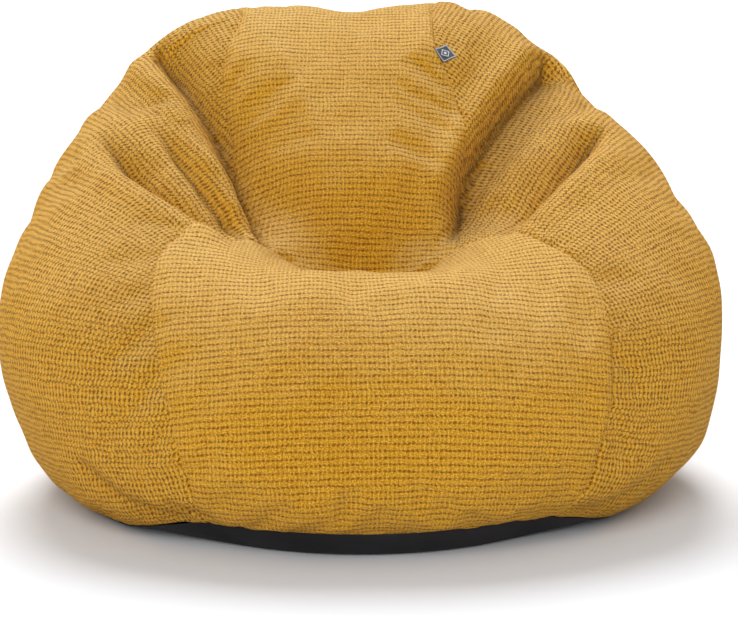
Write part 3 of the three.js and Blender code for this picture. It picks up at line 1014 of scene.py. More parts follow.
def closed_sheet(outer: np.ndarray, inner: np.ndarray) -> tuple[np.ndarray, list[list[int]]]:
    """A thick sheet between two grids of points.

    Args:
        outer: The outer layer, (rows, columns, 3).
        inner: The inner layer, the same size.

    Returns:
        The points and faces of one closed body.
    """
    rows, columns = outer.shape[:2]
    count = rows * columns
    faces = np.concatenate([grid_faces(rows, columns), grid_faces(rows, columns, count, flip=True)]).tolist()
    number = np.arange(count).reshape(rows, columns)
    border = np.concatenate([number[0, :-1], number[:-1, -1], number[-1, :0:-1], number[:0:-1, 0]])
    for a, b in zip(border, np.roll(border, -1)):
        faces.append([int(b), int(a), int(a) + count, int(b) + count])
    return np.concatenate([outer.reshape(-1, 3), inner.reshape(-1, 3)]), faces


def on_circle(radius: Any, degrees: Any, z: Any) -> np.ndarray:
    """Points at an angle from the front on a circle round the vertical axis, in millimetres."""
    t = np.radians(np.asarray(degrees, float))
    return np.stack(np.broadcast_arrays(radius * np.sin(t), -radius * np.cos(t), np.asarray(z, float)), -1)


def settle(
    piece: bpy.types.Object, stands_for: str | None = None, body: str = BODY
) -> bpy.types.Object:
    """Puts a finished piece in the frame.

    Args:
        piece: The object.
        stands_for: The CAD node that it replaces.
        body: The body it rides on.

    Returns:
        The same object.
    """
    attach(piece, body)
    if stands_for:
        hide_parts(stands_for)
    log.info("%s: %d points", piece.name, len(piece.data.vertices))
    return piece


# ---------------------------------------------------------------- the cover


Curve = Callable[[np.ndarray], np.ndarray]


def seam_curve(path: Sequence[tuple[float, float]], flipped: bool = False) -> Curve:
    """A smooth seam on the disc through (degrees, level) points.

    Args:
        path: The seam's points.
        flipped: Whether it runs from its last point to its first.

    Returns:
        A function from a share of the seam to disc points.
    """
    places = BagForm.on_disc([p[0] for p in path], [p[1] for p in path])
    ends = np.concatenate([2 * places[:1] - places[1:2], places, 2 * places[-1:] - places[-2:-1]])

    def curve(share: np.ndarray) -> np.ndarray:
        """Catmull-Rom through the seam's points.

        Args:
            share: Shares of the seam, from 0 to 1.

        Returns:
            Disc points, (..., 2).
        """
        t = (1 - share if flipped else share) * (len(places) - 1)
        k = np.clip(np.floor(t).astype(int), 0, len(places) - 2)
        f = (t - k)[..., None]
        a, b, c, d = (ends[k + n] for n in range(4))
        square, cube = 2 * a - 5 * b + 4 * c - d, 3 * b - a - 3 * c + d
        return 0.5 * (2 * b + (c - a) * f + square * f**2 + cube * f**3)

    return curve


def foot_curve(start: float, end: float) -> Curve:
    """The foot seam between two angles."""
    return lambda share: BagForm.on_disc(start + (end - start) * share, np.zeros_like(share))


@dataclass
class CoverPanel:
    """One cut of the cover between four seams; lower and upper run left to right.

    The turn is how far its ribs tilt from level, in degrees, at its middle, which is a share of its
    width and height.
    """

    name: str
    lower: Curve
    upper: Curve
    left: Curve
    right: Curve
    columns: int
    rows: int
    turn: float = 0.0
    middle: tuple[float, float] = (0.5, 0.45)
    lowest_inside: float = 3.2
    lowest_outside: float = 3.4
    disc: np.ndarray = field(init=False)
    points: np.ndarray = field(init=False)
    weave: np.ndarray = field(init=False)
    outer: np.ndarray = field(init=False)
    cut: tuple[float, float, float] = field(init=False)

    def lay_out(self, form: BagForm, creases: Creases) -> None:
        """Fills the four seams with a grid and lifts it onto the swollen form.

        Args:
            form: The bag's form.
            creases: The folds and swells.
        """
        s, t = np.linspace(0, 1, self.columns + 1), np.linspace(0, 1, self.rows + 1)
        low, high, left, right = self.lower(s), self.upper(s), self.left(t), self.right(t)
        s, t = s[None, :, None], t[:, None, None]
        ruled = (1 - t) * low[None] + t * high[None] + (1 - s) * left[:, None] + s * right[:, None]
        corners = (
            (1 - s) * (1 - t) * low[0] + s * (1 - t) * low[-1] + (1 - s) * t * high[0] + s * t * high[-1]
        )
        self.disc = ruled - corners
        swell = creases.soft(form, self.disc)[..., None]
        self.points = form.at(self.disc) + swell * form.normal(self.disc)

    def flatten(self, pitch: float) -> None:
        """Flattens the panel to its cut, as a pattern cutter would, and counts its threads.

        Args:
            pitch: The weave's cell size in millimetres.
        """
        rows, columns = self.points.shape[:2]
        mesh = bpy.data.meshes.new("cut")
        places = [tuple(p) for p in self.points.reshape(-1, 3) * MM]
        mesh.from_pydata(places, [], grid_faces(rows, columns).tolist())
        scratch = bpy.data.objects.new("cut", mesh)
        bpy.context.scene.collection.objects.link(scratch)
        mesh.uv_layers.new(name=WEAVE_MAP)
        for other in list(bpy.context.selected_objects):
            other.select_set(False)
        scratch.select_set(True)
        bpy.context.view_layer.objects.active = scratch
        bpy.ops.object.mode_set(mode="EDIT")
        bpy.ops.mesh.select_all(action="SELECT")
        bpy.ops.uv.unwrap(method="MINIMUM_STRETCH", iterations=30, margin=0.0)
        bpy.ops.object.mode_set(mode="OBJECT")
        numbers = np.empty(len(mesh.loops), np.int32)
        mesh.loops.foreach_get("vertex_index", numbers)
        loops = np.empty(len(mesh.loops) * 2, np.float32)
        mesh.uv_layers[0].data.foreach_get("uv", loops)
        flat = np.zeros((len(mesh.vertices), 2))
        flat[numbers] = loops.reshape(-1, 2)
        bpy.data.objects.remove(scratch)
        bpy.data.meshes.remove(mesh)
        self._square_up(flat.reshape(rows, columns, 2), pitch)

    def _square_up(self, flat: np.ndarray, pitch: float) -> None:
        """Scales the flat cut to true size and turns it so the ribs lie level at its middle.

        Args:
            flat: The flattened grid at any size and turn, (rows, columns, 2).
            pitch: The weave's cell size in millimetres.
        """
        quads = grid_faces(*flat.shape[:2])
        true = polygon_areas(self.points.reshape(-1, 3)[quads])
        corner = np.concatenate([flat, np.zeros((*flat.shape[:2], 1))], -1).reshape(-1, 3)[quads]
        signed = 0.5 * np.cross(corner[:, 2] - corner[:, 0], corner[:, 3] - corner[:, 1])[:, 2]
        if signed.sum() < 0:
            flat = flat * np.array([-1, 1])
        flat = flat * math.sqrt(true.sum() / abs(signed.sum()))
        column, row = (int(k * (n - 1)) for k, n in zip(self.middle, (flat.shape[1], flat.shape[0])))
        reach = 4
        across = flat[row, column + reach] - flat[row, column - reach]
        step = self.points[row, column + reach] - self.points[row, column - reach]
        up = self.points[row + reach, column] - self.points[row - reach, column]
        outward = np.cross(step, up)
        level = np.cross(np.array([0, 0, 1.0]), outward)
        level /= np.linalg.norm(level)
        tilt = math.atan2(np.cross(level, step) @ (outward / np.linalg.norm(outward)), level @ step)
        angle = tilt - math.atan2(across[1], across[0]) + math.radians(self.turn)
        c, s = math.cos(angle), math.sin(angle)
        flat = flat @ np.array([[c, s], [-s, c]])
        flat -= flat[row, column]
        self.cut = (float(np.ptp(flat[..., 0])), float(np.ptp(flat[..., 1])), float(true.sum()))
        self.weave = flat / pitch

    def dress(
        self,
        form: BagForm,
        creases: Creases,
        seam: "SeamWork",
        material: bpy.types.Material,
        edge: Sequence[bool],
    ) -> bpy.types.Object:
        """Refines the filled panel, adds folds and seams, gives it thickness and makes the piece.

        Args:
            form: The bag's form.
            creases: The folds.
            seam: How the seams draw in.
            material: The cover's finish.
            edge: Whether the lower, right, upper and left edges are sewn to another panel.

        Returns:
            The piece.
        """
        disc, points, weave = (refined(g) for g in (self.disc, self.points, self.weave))
        normal = form.normal(disc)
        pull, shade = creases.sharp(form, disc)
        outer = points + pull[..., None] * form.normal(disc, FOLD_STEP)
        outer += seam.lift(points, edge)[..., None] * normal
        inner = outer - seam.thickness * normal
        inner[..., 2] = np.maximum(inner[..., 2], self.lowest_inside)
        outer[..., 2] = np.maximum(outer[..., 2], self.lowest_outside)
        self.outer = outer
        body, faces = closed_sheet(outer, inner)
        flat = weave.reshape(-1, 2)
        piece = make_piece(self.name, body, faces, material, np.concatenate([flat, flat]), sharp=60)
        # painted crease shade stored on each point, for the cover's finish to darken by
        inside = piece.data.attributes.new(PAINTED_CREASE_SHADE, "FLOAT", "POINT")
        inside.data.foreach_set("value", np.tile(shade.ravel(), 2).astype(np.float32))
        return piece


def polygon_areas(corners: np.ndarray) -> np.ndarray:
    """The areas of quads, given their corners (n, 4, 3)."""
    crossed = np.cross(corners[:, 2] - corners[:, 0], corners[:, 3] - corners[:, 1])
    return 0.5 * np.linalg.norm(crossed, axis=-1)


@dataclass(frozen=True)
class SeamWork:
    """How the sewn edges draw the cover in, in millimetres."""

    groove: float = 1.3
    groove_width: float = 4.0
    pucker: float = 0.9
    pucker_reach: float = 20.0
    pucker_wave: float = 17.0
    thickness: float = 2.4

    def lift(self, points: np.ndarray, edge: Sequence[bool]) -> np.ndarray:
        """How far the sewing moves a panel's points, negative inwards.

        Args:
            points: The panel's grid, (rows, columns, 3).
            edge: Whether the lower, right, upper and left edges are sewn to another panel.

        Returns:
            Distances in millimetres, (rows, columns).
        """
        total = np.zeros(points.shape[:2])
        for axis, first, last in ((0, edge[0], edge[2]), (1, edge[3], edge[1])):
            steps = np.linalg.norm(np.diff(points, axis=axis), axis=-1)
            pad = [(1, 0) if k == axis else (0, 0) for k in (0, 1)]
            along = np.pad(np.cumsum(steps, axis), pad)
            length = np.take(along, [-1], axis)
            for sewn, away in ((first, along), (last, length - along)):
                if sewn:
                    puckers = ripple(points, self.pucker_wave, 3.0) * np.exp(-away / self.pucker_reach)
                    settled = smooth_step(0, 6, away)
                    total += self.pucker * puckers * settled - self.groove * bell(away, self.groove_width)
        return total


@dataclass
class Cover:
    """The five woven panels, laid out, filled and dressed together."""

    form: BagForm
    creases: Creases
    pitch: float = 8.0
    side_pitch: float = 7.3
    around_count: int = 52
    height_count: int = 72
    side_count: int = 76
    seam: SeamWork = SeamWork()
    frames: int = 12
    pressure: float = 4.0
    cap: float = 4.5
    skin: BVHTree | None = None
    front_right: Stations = (
        (38.5, 0), (39, 0.39), (41, 0.68), (43.2, 0.92), (47.5, 1.2), (53.5, 1.47), (59, 1.7), (63.5, 2.02),
        (74, 2.32), (84, 2.58),
    )
    front_left: Stations = (
        (-35.5, 0), (-34.6, 0.4), (-34.9, 0.79), (-37, 1.07), (-44, 1.33), (-52, 1.54), (-60, 1.75),
        (-66, 2.0), (-74, 2.26), (-84, 2.58),
    )
    back_right: Stations = (
        (157, 1.85), (156, 2.06), (148, 2.33), (135.5, 2.45), (122, 2.52), (104, 2.62), (84, 2.58),
    )
    back_left: Stations = (
        (-153, 1.85), (-149, 2.12), (-140.5, 2.24), (-131, 2.32), (-122, 2.42), (-106, 2.53), (-84, 2.58),
    )
    rear_seam: Stations = ((126, 0), (128, 0.7), (134, 1.3), (150, 1.7))
    seat_seam: Stations = ((-84, 2.58), (0, 2.9), (84, 2.58))
    ridge_seam: Stations = ((157, 1.85), (168, 1.84), (180, 1.84), (193, 1.84), (207, 1.85))

    def panels(self) -> list[CoverPanel]:
        """The five cuts and their seams.

        Returns:
            The panels, not yet laid out.
        """
        right_end, left_end, rear = self.front_right[0][0], self.front_left[0][0], self.rear_seam[0][0]
        rear_right = (*self.rear_seam, self.back_right[0])
        rear_left = (*mirrored(self.rear_seam), self.back_left[0])
        wide, high, side = self.around_count, self.height_count, self.side_count
        return [
            CoverPanel(
                "front_panel_cloth", foot_curve(left_end, right_end), seam_curve(self.seat_seam),
                seam_curve(self.front_left), seam_curve(self.front_right), wide, high,
            ),
            CoverPanel(
                "backrest_panel_cloth", seam_curve(self.seat_seam), seam_curve(self.ridge_seam, True),
                seam_curve(self.back_left, True), seam_curve(self.back_right, True), wide, side,
                middle=(0.5, 0.5),
            ),
            CoverPanel(
                "rear_panel_cloth", foot_curve(rear, 360 - rear), seam_curve(self.ridge_seam),
                seam_curve(rear_right), seam_curve(rear_left), wide, high,
            ),
            CoverPanel(
                "side_panel_right_cloth", foot_curve(right_end, rear), seam_curve(self.back_right, True),
                seam_curve(self.front_right), seam_curve(rear_right), side, high, turn=8,
            ),
            CoverPanel(
                "side_panel_left_cloth", foot_curve(-rear, left_end), seam_curve(self.back_left),
                seam_curve(rear_left), seam_curve(self.front_left), side, high, turn=-8,
            ),
        ]

    def build(self) -> list[bpy.types.Object]:
        """Builds every panel.

        Returns:
            The finished pieces.
        """
        panels = self.panels()
        for panel in panels:
            panel.lay_out(self.form, self.creases)
            panel.flatten(self.side_pitch if panel.name.startswith("side") else self.pitch)
        self._fill_out(panels)
        slack = WovenCover().material()
        # the side cut gets a weaker painted highlight on its upturned faces
        stretched = WovenCover("cover_fabric_side", rib=(0.68, 0.262, 0.003), top_highlight_share=0.42, open_mesh=1.0)
        open_mesh = stretched.material()
        pieces = []
        for panel in panels:
            edge = (panel.name.startswith("backrest"), True, True, True)
            material = open_mesh if panel.name.startswith("side") else slack
            piece = panel.dress(self.form, self.creases, self.seam, material, edge)
            settle(piece, panel.name.removesuffix("_cloth"))
            width, length, area = (panel.cut[0] * MM, panel.cut[1] * MM, panel.cut[2] * MM * MM)
            log.info("%s cut %.0f x %.0f mm", panel.name, panel.cut[0], panel.cut[1])
            pieces.append(piece)
        self.skin = self._skin_tree(panels)
        return pieces

    @staticmethod
    def _skin_tree(panels: list[CoverPanel]) -> BVHTree:
        """The cover's outer skin, for fitting what lies under it.

        Args:
            panels: The dressed panels.

        Returns:
            A search tree of their outer sides, in millimetres.
        """
        points, faces, start = [], [], 0
        for panel in panels:
            points.append(panel.outer.reshape(-1, 3))
            faces.append(grid_faces(*panel.outer.shape[:2], start))
            start += len(points[-1])
        return BVHTree.FromPolygons(np.concatenate(points).tolist(), np.concatenate(faces).tolist())

    def _fill_out(self, panels: list[CoverPanel]) -> None:
        """Fills the cover out against its seams with a short cloth simulation.

        Args:
            panels: The laid-out panels, whose points it moves.
        """
        points = np.concatenate([p.points.reshape(-1, 3) for p in panels])
        keys = np.round(points * 20).astype(np.int64)
        _, first, shared = np.unique(keys, axis=0, return_index=True, return_inverse=True)
        shared = shared.reshape(-1)
        faces, held, start = [], np.zeros(len(first)), 0
        for p in panels:
            rows, columns = p.points.shape[:2]
            faces.append(shared[grid_faces(rows, columns, start)])
            number = np.arange(rows * columns).reshape(rows, columns) + start
            for border in (number[0], number[-1], number[:, 0], number[:, -1]):
                held[shared[border]] = 1
            start += rows * columns
        before = points[first]
        after = self._simulate(before, np.concatenate(faces), held)
        move = after - before
        size = np.linalg.norm(move, axis=-1, keepdims=True)
        move *= np.minimum(1, self.cap / np.maximum(size, 1e-6))
        start = 0
        for p in panels:
            count = p.points.shape[0] * p.points.shape[1]
            p.points = p.points + move[shared[start : start + count]].reshape(p.points.shape)
            start += count

    def _simulate(self, points: np.ndarray, faces: np.ndarray, held: np.ndarray) -> np.ndarray:
        """Runs Blender's cloth on the whole cover.

        Args:
            points: Positions in millimetres.
            faces: Quads.
            held: Each point's pinning, from 0 to 1.

        Returns:
            The positions at the end, in millimetres.
        """
        mesh = bpy.data.meshes.new("filling_out")
        mesh.from_pydata([tuple(p) for p in points * MM], [], faces.tolist())
        skin = bpy.data.objects.new("filling_out", mesh)
        bpy.context.scene.collection.objects.link(skin)
        group = skin.vertex_groups.new(name="sewn")
        group.add([int(k) for k in np.flatnonzero(held)], 1.0, "REPLACE")
        cloth = skin.modifiers.new("cloth", "CLOTH")
        setup = cloth.settings
        setup.quality = 4
        setup.mass = 0.35
        setup.tension_stiffness = setup.compression_stiffness = 25
        setup.shear_stiffness = 8
        setup.bending_stiffness = 1.5
        setup.tension_damping = setup.compression_damping = 15
        setup.shrink_min = -0.012
        setup.use_pressure = True
        setup.uniform_pressure_force = self.pressure
        setup.vertex_group_mass = "sewn"
        setup.effector_weights.gravity = 0
        cloth.collision_settings.use_collision = False
        cloth.point_cache.frame_end = self.frames
        for number in range(1, self.frames + 1):
            bpy.context.scene.frame_set(number)
        done = skin.evaluated_get(bpy.context.evaluated_depsgraph_get()).to_mesh()
        result = np.empty(len(done.vertices) * 3)
        done.vertices.foreach_get("co", result)
        bpy.context.scene.frame_set(1)
        bpy.data.objects.remove(skin)
        bpy.data.meshes.remove(mesh)
        return result.reshape(-1, 3) / MM


# ---------------------------------------------------------------- the base


@dataclass
class BasePanel:
    """The smooth black base: flat on the floor, turned up to the foot seam."""

    form: BagForm
    zip_ends: tuple[float, float]
    zip_bottom: float
    flat_radius: float = 305
    thickness: float = 2.0
    curve: float = 1.9
    step: float = 1.5
    turned_up: float = 60
    allowance: float = 12
    rows: int = 26

    def edge(self, degrees: np.ndarray) -> np.ndarray:
        """The base edge's height, which drops to the lower tape along the zip.

        Args:
            degrees: Angles from the front.

        Returns:
            Heights in millimetres.
        """
        top = between(self.form.foot_height, degrees) - 0.5
        beside = np.abs(degrees % 360 - 180) - (self.zip_ends[1] - 180)
        share = 1 - smooth_step(-0.5, 0.1, beside)
        return top + (self.zip_bottom - top) * share

    def build(self) -> bpy.types.Object:
        """Builds the base as one closed dish.

        Returns:
            The piece.
        """
        beside_zip = [end + nudge for end in self.zip_ends for nudge in (-0.5, 0, 0.5)]
        degrees = np.unique(np.concatenate([np.arange(0, 360, self.step), beside_zip]))[None]
        share = np.linspace(0, 1, self.rows)[:, None]
        edge_radius = between(self.form.foot_radius, degrees)
        radius = self.flat_radius + (edge_radius - 0.6 - self.flat_radius) * share
        height = np.maximum(self.edge(degrees) - self.thickness, 0.2) * share**self.curve
        outer = on_circle(radius, degrees, height)
        wave = ripple(outer, 60, 4.0) * bell(share - 0.6, 0.3)
        outer[..., 2] += np.maximum(wave * 0.8, -0.5 * outer[..., 2])
        inner = outer + np.array([0, 0, self.thickness])
        count = degrees.size
        bottom, top = [[0, 0, 0]], [[0, 0, self.thickness]]
        points = np.concatenate([bottom, outer.reshape(-1, 3), inner.reshape(-1, 3), top])
        last = len(points) - 1
        faces = grid_faces(self.rows, count, 1, wrap=True, flip=True).tolist()
        faces += grid_faces(self.rows, count, 1 + self.rows * count, wrap=True).tolist()
        rim_out, rim_in = 1 + (self.rows - 1) * count, 1 + (2 * self.rows - 1) * count
        first_in = 1 + self.rows * count
        for j in range(count):
            after = (j + 1) % count
            faces.append([rim_out + j, rim_out + after, rim_in + after, rim_in + j][::-1])
            faces.append([0, 1 + after, 1 + j][::-1])
            faces.append([last, first_in + j, first_in + after][::-1])
        black = (0.0068, 0.006, 0.0078)
        finish = FineCloth("base_fabric", black, 0.6, thread=0.8 * MM, wear=0.35, gloss=0.25)
        piece = make_piece("base_cloth", points, faces, finish.material())
        repair_normals(piece)
        settle(piece, "base_panel")
        return piece


def repair_normals(piece: bpy.types.Object) -> None:
    """Turns a closed piece's faces to look outwards.

    Args:
        piece: The object, whose mesh is changed.
    """
    work = bmesh.new()
    work.from_mesh(piece.data)
    bmesh.ops.recalc_face_normals(work, faces=work.faces)
    work.to_mesh(piece.data)
    work.free()


# ---------------------------------------------------------------- zips


@dataclass
class Zip:
    """A coil zip bent round the bag: tapes, coils, a slider and a stop at each end, in millimetres."""

    name: str
    radius: float
    height: float
    start: float
    end: float
    lead: float
    slider_body: str
    tape_thickness: float = 1.2
    tape_inner: float = 3.2
    tape_outer: float = 13.5
    tooth_pitch: float = 2.4
    chain_half: float = 3.0
    neck_half: float = 0.22

    def build(self) -> list[bpy.types.Object]:
        """Builds the zip's pieces.

        Returns:
            The pieces.
        """
        black = (0.012, 0.0115, 0.0125)
        tape = FineCloth(f"{self.name}_tape", black, 0.8, thread=0.9 * MM, sheen=0.1).material()
        coil, metal = CoilPlastic().material(), CastMetal().material()
        pieces = []
        for side in ZipSide:
            pieces.append(self._tape(side, tape))
            pieces.append(self._coil(side, coil))
        pieces.append(self._slider(metal))
        inset = 1.3 * self.stop_angle
        pieces.append(self._stop("top_stop", self.start + inset, metal))
        pieces.append(self._stop("bottom_stop", self.end - inset, metal))
        return pieces

    @property
    def middle(self) -> float:
        """The radius of the coils' middle."""
        return self.radius - self.tape_thickness / 2

    @property
    def stop_angle(self) -> float:
        """The angle of the 4 mm kept for a stop along the zip, in degrees."""
        return math.degrees(4 / self.radius)

    def _tape(self, side: ZipSide, material: bpy.types.Material) -> bpy.types.Object:
        """One tape, with a thicker woven cord along its inner edge.

        Args:
            side: Which half it is.
            material: Its finish.

        Returns:
            The piece.
        """
        lead = self.lead if side is ZipSide.UPPER else 0
        degrees = np.linspace(self.start - lead, self.end + lead, 170)
        span = self.tape_outer - self.tape_inner
        section = [(0, -0.2), (0.08, 0.25), (0.16, 0), (0.5, -0.1), (0.9, 0), (1, 0)]
        across = np.array([self.tape_inner + share * span for share, _ in section])
        swell = np.array([extra for _, extra in section])
        z = self.height + side.value * across[:, None] + 0 * degrees[None]
        outer = on_circle(self.radius - 0.05 + swell[:, None], degrees[None], z)
        inner = on_circle(self.radius - self.tape_thickness - swell[:, None], degrees[None], z)
        points, faces = closed_sheet(outer, inner)
        name = f"{self.name}_{side.name.lower()}_tape"
        piece = make_piece(f"{name}_woven", points, faces, material)
        repair_normals(piece)
        settle(piece, name)
        return piece

    def _coil(self, side: ZipSide, material: bpy.types.Material) -> bpy.types.Object:
        """One side's coil, a row of rounded loops that stop just short of the slider's neck.

        Args:
            side: Which half it is.
            material: Its finish.

        Returns:
            The piece.
        """
        stop = self.stop_angle
        length = math.radians(self.end - self.start - 4 * stop) * self.middle
        count = int(length / self.tooth_pitch)
        shift = 0.5 if side is ZipSide.UPPER else 0.0
        ring = np.radians(np.arange(8) * 45)
        across = np.linspace(self.neck_half + 0.1, self.chain_half, 4)
        thick = np.array([0.72, 1.0, 1.0, 0.8])
        points, faces = [], []
        for k in range(count):
            at = self.start + 2 * stop + math.degrees((k + 0.5 + shift) * self.tooth_pitch / self.middle)
            first = len(points)
            for reach, wide in zip(across, thick):
                for angle in ring:
                    radial = self.middle + 1.3 * wide * math.sin(angle)
                    sideways = math.degrees(0.5 * wide * math.cos(angle) / self.middle)
                    points.append(on_circle(radial, at + sideways, self.height + side.value * reach))
            faces += grid_faces(4, 8, first, wrap=True).tolist()
            faces += [list(range(first, first + 8)), list(range(first + 24, first + 32))]
        name = f"{self.name}_{side.name.lower()}_chain"
        piece = make_piece(f"{name}_coil", np.array(points), faces, material, sharp=70)
        repair_normals(piece)
        return settle(piece, name)

    def _slab(self, radial: tuple[float, float], at: float, outline: np.ndarray) -> tuple[np.ndarray, list]:
        """A bevelled slab bent to the zip's circle.

        Args:
            radial: Its inner and outer radius.
            at: Its middle angle.
            outline: Its outline in millimetres along and across the zip, (n, 2).

        Returns:
            Points and faces of one closed body.
        """
        low, high = radial
        edge = min(0.5, (high - low) / 3)
        layers = ((low, 0.88), (low + edge, 1.0), (high - edge, 1.0), (high, 0.86))
        along, across = outline[:, 0], outline[:, 1]
        points = np.concatenate([
            on_circle(r, at + np.degrees(along * scale / self.middle), self.height + across * scale)
            for r, scale in layers
        ])
        n = len(outline)
        faces = grid_faces(len(layers), n, wrap=True).tolist()
        faces += [list(range(n)), list(range(3 * n, 4 * n))]
        return points, faces

    def _slider(self, material: bpy.types.Material) -> bpy.types.Object:
        """The slider: two waisted plates joined by a neck, with a bridge on the outer one.

        Args:
            material: Its finish.

        Returns:
            The piece.
        """
        half_length, half_height, plate = 5.0, 5.5, 2.1
        at = self.start + 2.5 * self.stop_angle + math.degrees(half_length / self.radius)
        t = np.radians(np.arange(0, 360, 12))
        along = half_length * np.sign(np.cos(t)) * np.abs(np.cos(t)) ** 0.45
        waist = 1 - 0.14 * (along / half_length)
        across = half_height * np.sign(np.sin(t)) * np.abs(np.sin(t)) ** 0.55 * waist
        body = np.stack([along, across], -1)
        near, far = self.middle - 1.4 - 0.6, self.middle + 1.4 + 0.6
        neck = body * np.array([0.28, self.neck_half / np.abs(across).max()])
        arch_foot, arch_reach = body * np.array([0.14, 0.24]), np.array([3.1, 0])
        parts = [
            self._slab((near - plate, near), at, body),
            self._slab((far, far + plate), at, body),
            self._slab((near - 0.3, far + 0.3), at, neck),
            self._slab((far + plate - 0.3, far + 2 * plate - 0.2), at, arch_foot + arch_reach),
            self._slab((far + plate - 0.3, far + 2 * plate - 0.2), at, arch_foot - arch_reach),
            self._slab((far + plate + 0.9, far + 2 * plate), at, body * np.array([0.74, 0.22])),
        ]
        points, faces, first = [], [], 0
        for some, around_faces in parts:
            points.append(some)
            faces += [[k + first for k in face] for face in around_faces]
            first += len(some)
        name = f"{self.name}_slider_cast"
        piece = make_piece(name, np.concatenate(points), faces, material, sharp=40)
        repair_normals(piece)
        return settle(piece, f"{self.name}_slider", self.slider_body)

    def _stop(self, which: str, at: float, material: bpy.types.Material) -> bpy.types.Object:
        """A stop pressed over both coils at one end.

        Args:
            which: The end's name.
            at: Its angle from the front, in degrees.
            material: Its finish.

        Returns:
            The piece.
        """
        t = np.radians(np.arange(0, 360, 20))
        along = 1.7 * np.sign(np.cos(t)) * np.abs(np.cos(t)) ** 0.5
        across = 2.4 * np.sign(np.sin(t)) * np.abs(np.sin(t)) ** 0.5
        outline = np.stack([along, across], -1)
        points, faces = self._slab((self.middle - 1.4, self.middle + 1.4), at, outline)
        piece = make_piece(f"{self.name}_{which}_pressed", points, faces, material, sharp=40)
        repair_normals(piece)
        return settle(piece, f"{self.name}_{which}")


# ---------------------------------------------------------------- labels


@dataclass
class SewnLabel:
    """A small label that lies on the cover and bends with it, in millimetres."""

    name: str
    slot: str
    width: float
    height: float
    degrees: float
    level: float
    turn: float
    thickness: float
    finish: WovenTag | Satin
    proud: float = 0.9
    lifted: float = 60

    def build(self, form: BagForm, under: list[bpy.types.Object]) -> bpy.types.Object:
        """Builds the label on the pieces under it.

        Args:
            form: The bag's form.
            under: The cover's pieces that it may lie on.

        Returns:
            The piece.
        """
        trees = [BVHTree.FromObject(o, bpy.context.evaluated_depsgraph_get()) for o in under]
        disc = form.on_disc(self.degrees, self.level)
        middle, normal = form.at(disc), form.normal(disc)
        nudge = 0.02 if self.level < 2 else -0.02
        up = form.surface(np.array(self.degrees), np.array(self.level + nudge)) - middle
        up -= (up @ normal) * normal
        up /= np.linalg.norm(up)
        side = np.cross(up, normal)
        turn = math.radians(self.turn)
        across = math.cos(turn) * side + math.sin(turn) * up
        along = math.cos(turn) * up - math.sin(turn) * side
        steps = 14
        s, t = np.meshgrid(np.linspace(-0.5, 0.5, steps), np.linspace(-0.5, 0.5, steps))
        flat = middle + s[..., None] * self.width * across + t[..., None] * self.height * along
        drop = np.empty(s.shape)
        for k in np.ndindex(*s.shape):
            start = Vector((flat[k] + self.lifted * normal) * MM)
            hits = [tree.ray_cast(start, Vector(-normal)) for tree in trees]
            near = [h[3] for h in hits if h[3] is not None]
            drop[k] = min(near) / MM if near else self.lifted
        for _ in range(30):
            drop = np.minimum(drop, beside_mean(drop))
        outer = flat + (self.lifted - drop + self.proud + self.thickness)[..., None] * normal
        inner = outer - self.thickness * normal
        points, faces = closed_sheet(outer, inner)
        weave = np.stack([s + 0.5, t + 0.5], -1).reshape(-1, 2)
        both = np.concatenate([weave, weave])
        piece = make_piece(f"{self.name}_cloth", points, faces, self.finish.material(), both)
        repair_normals(piece)
        settle(piece, self.name)
        return piece


# ---------------------------------------------------------------- inside the cover


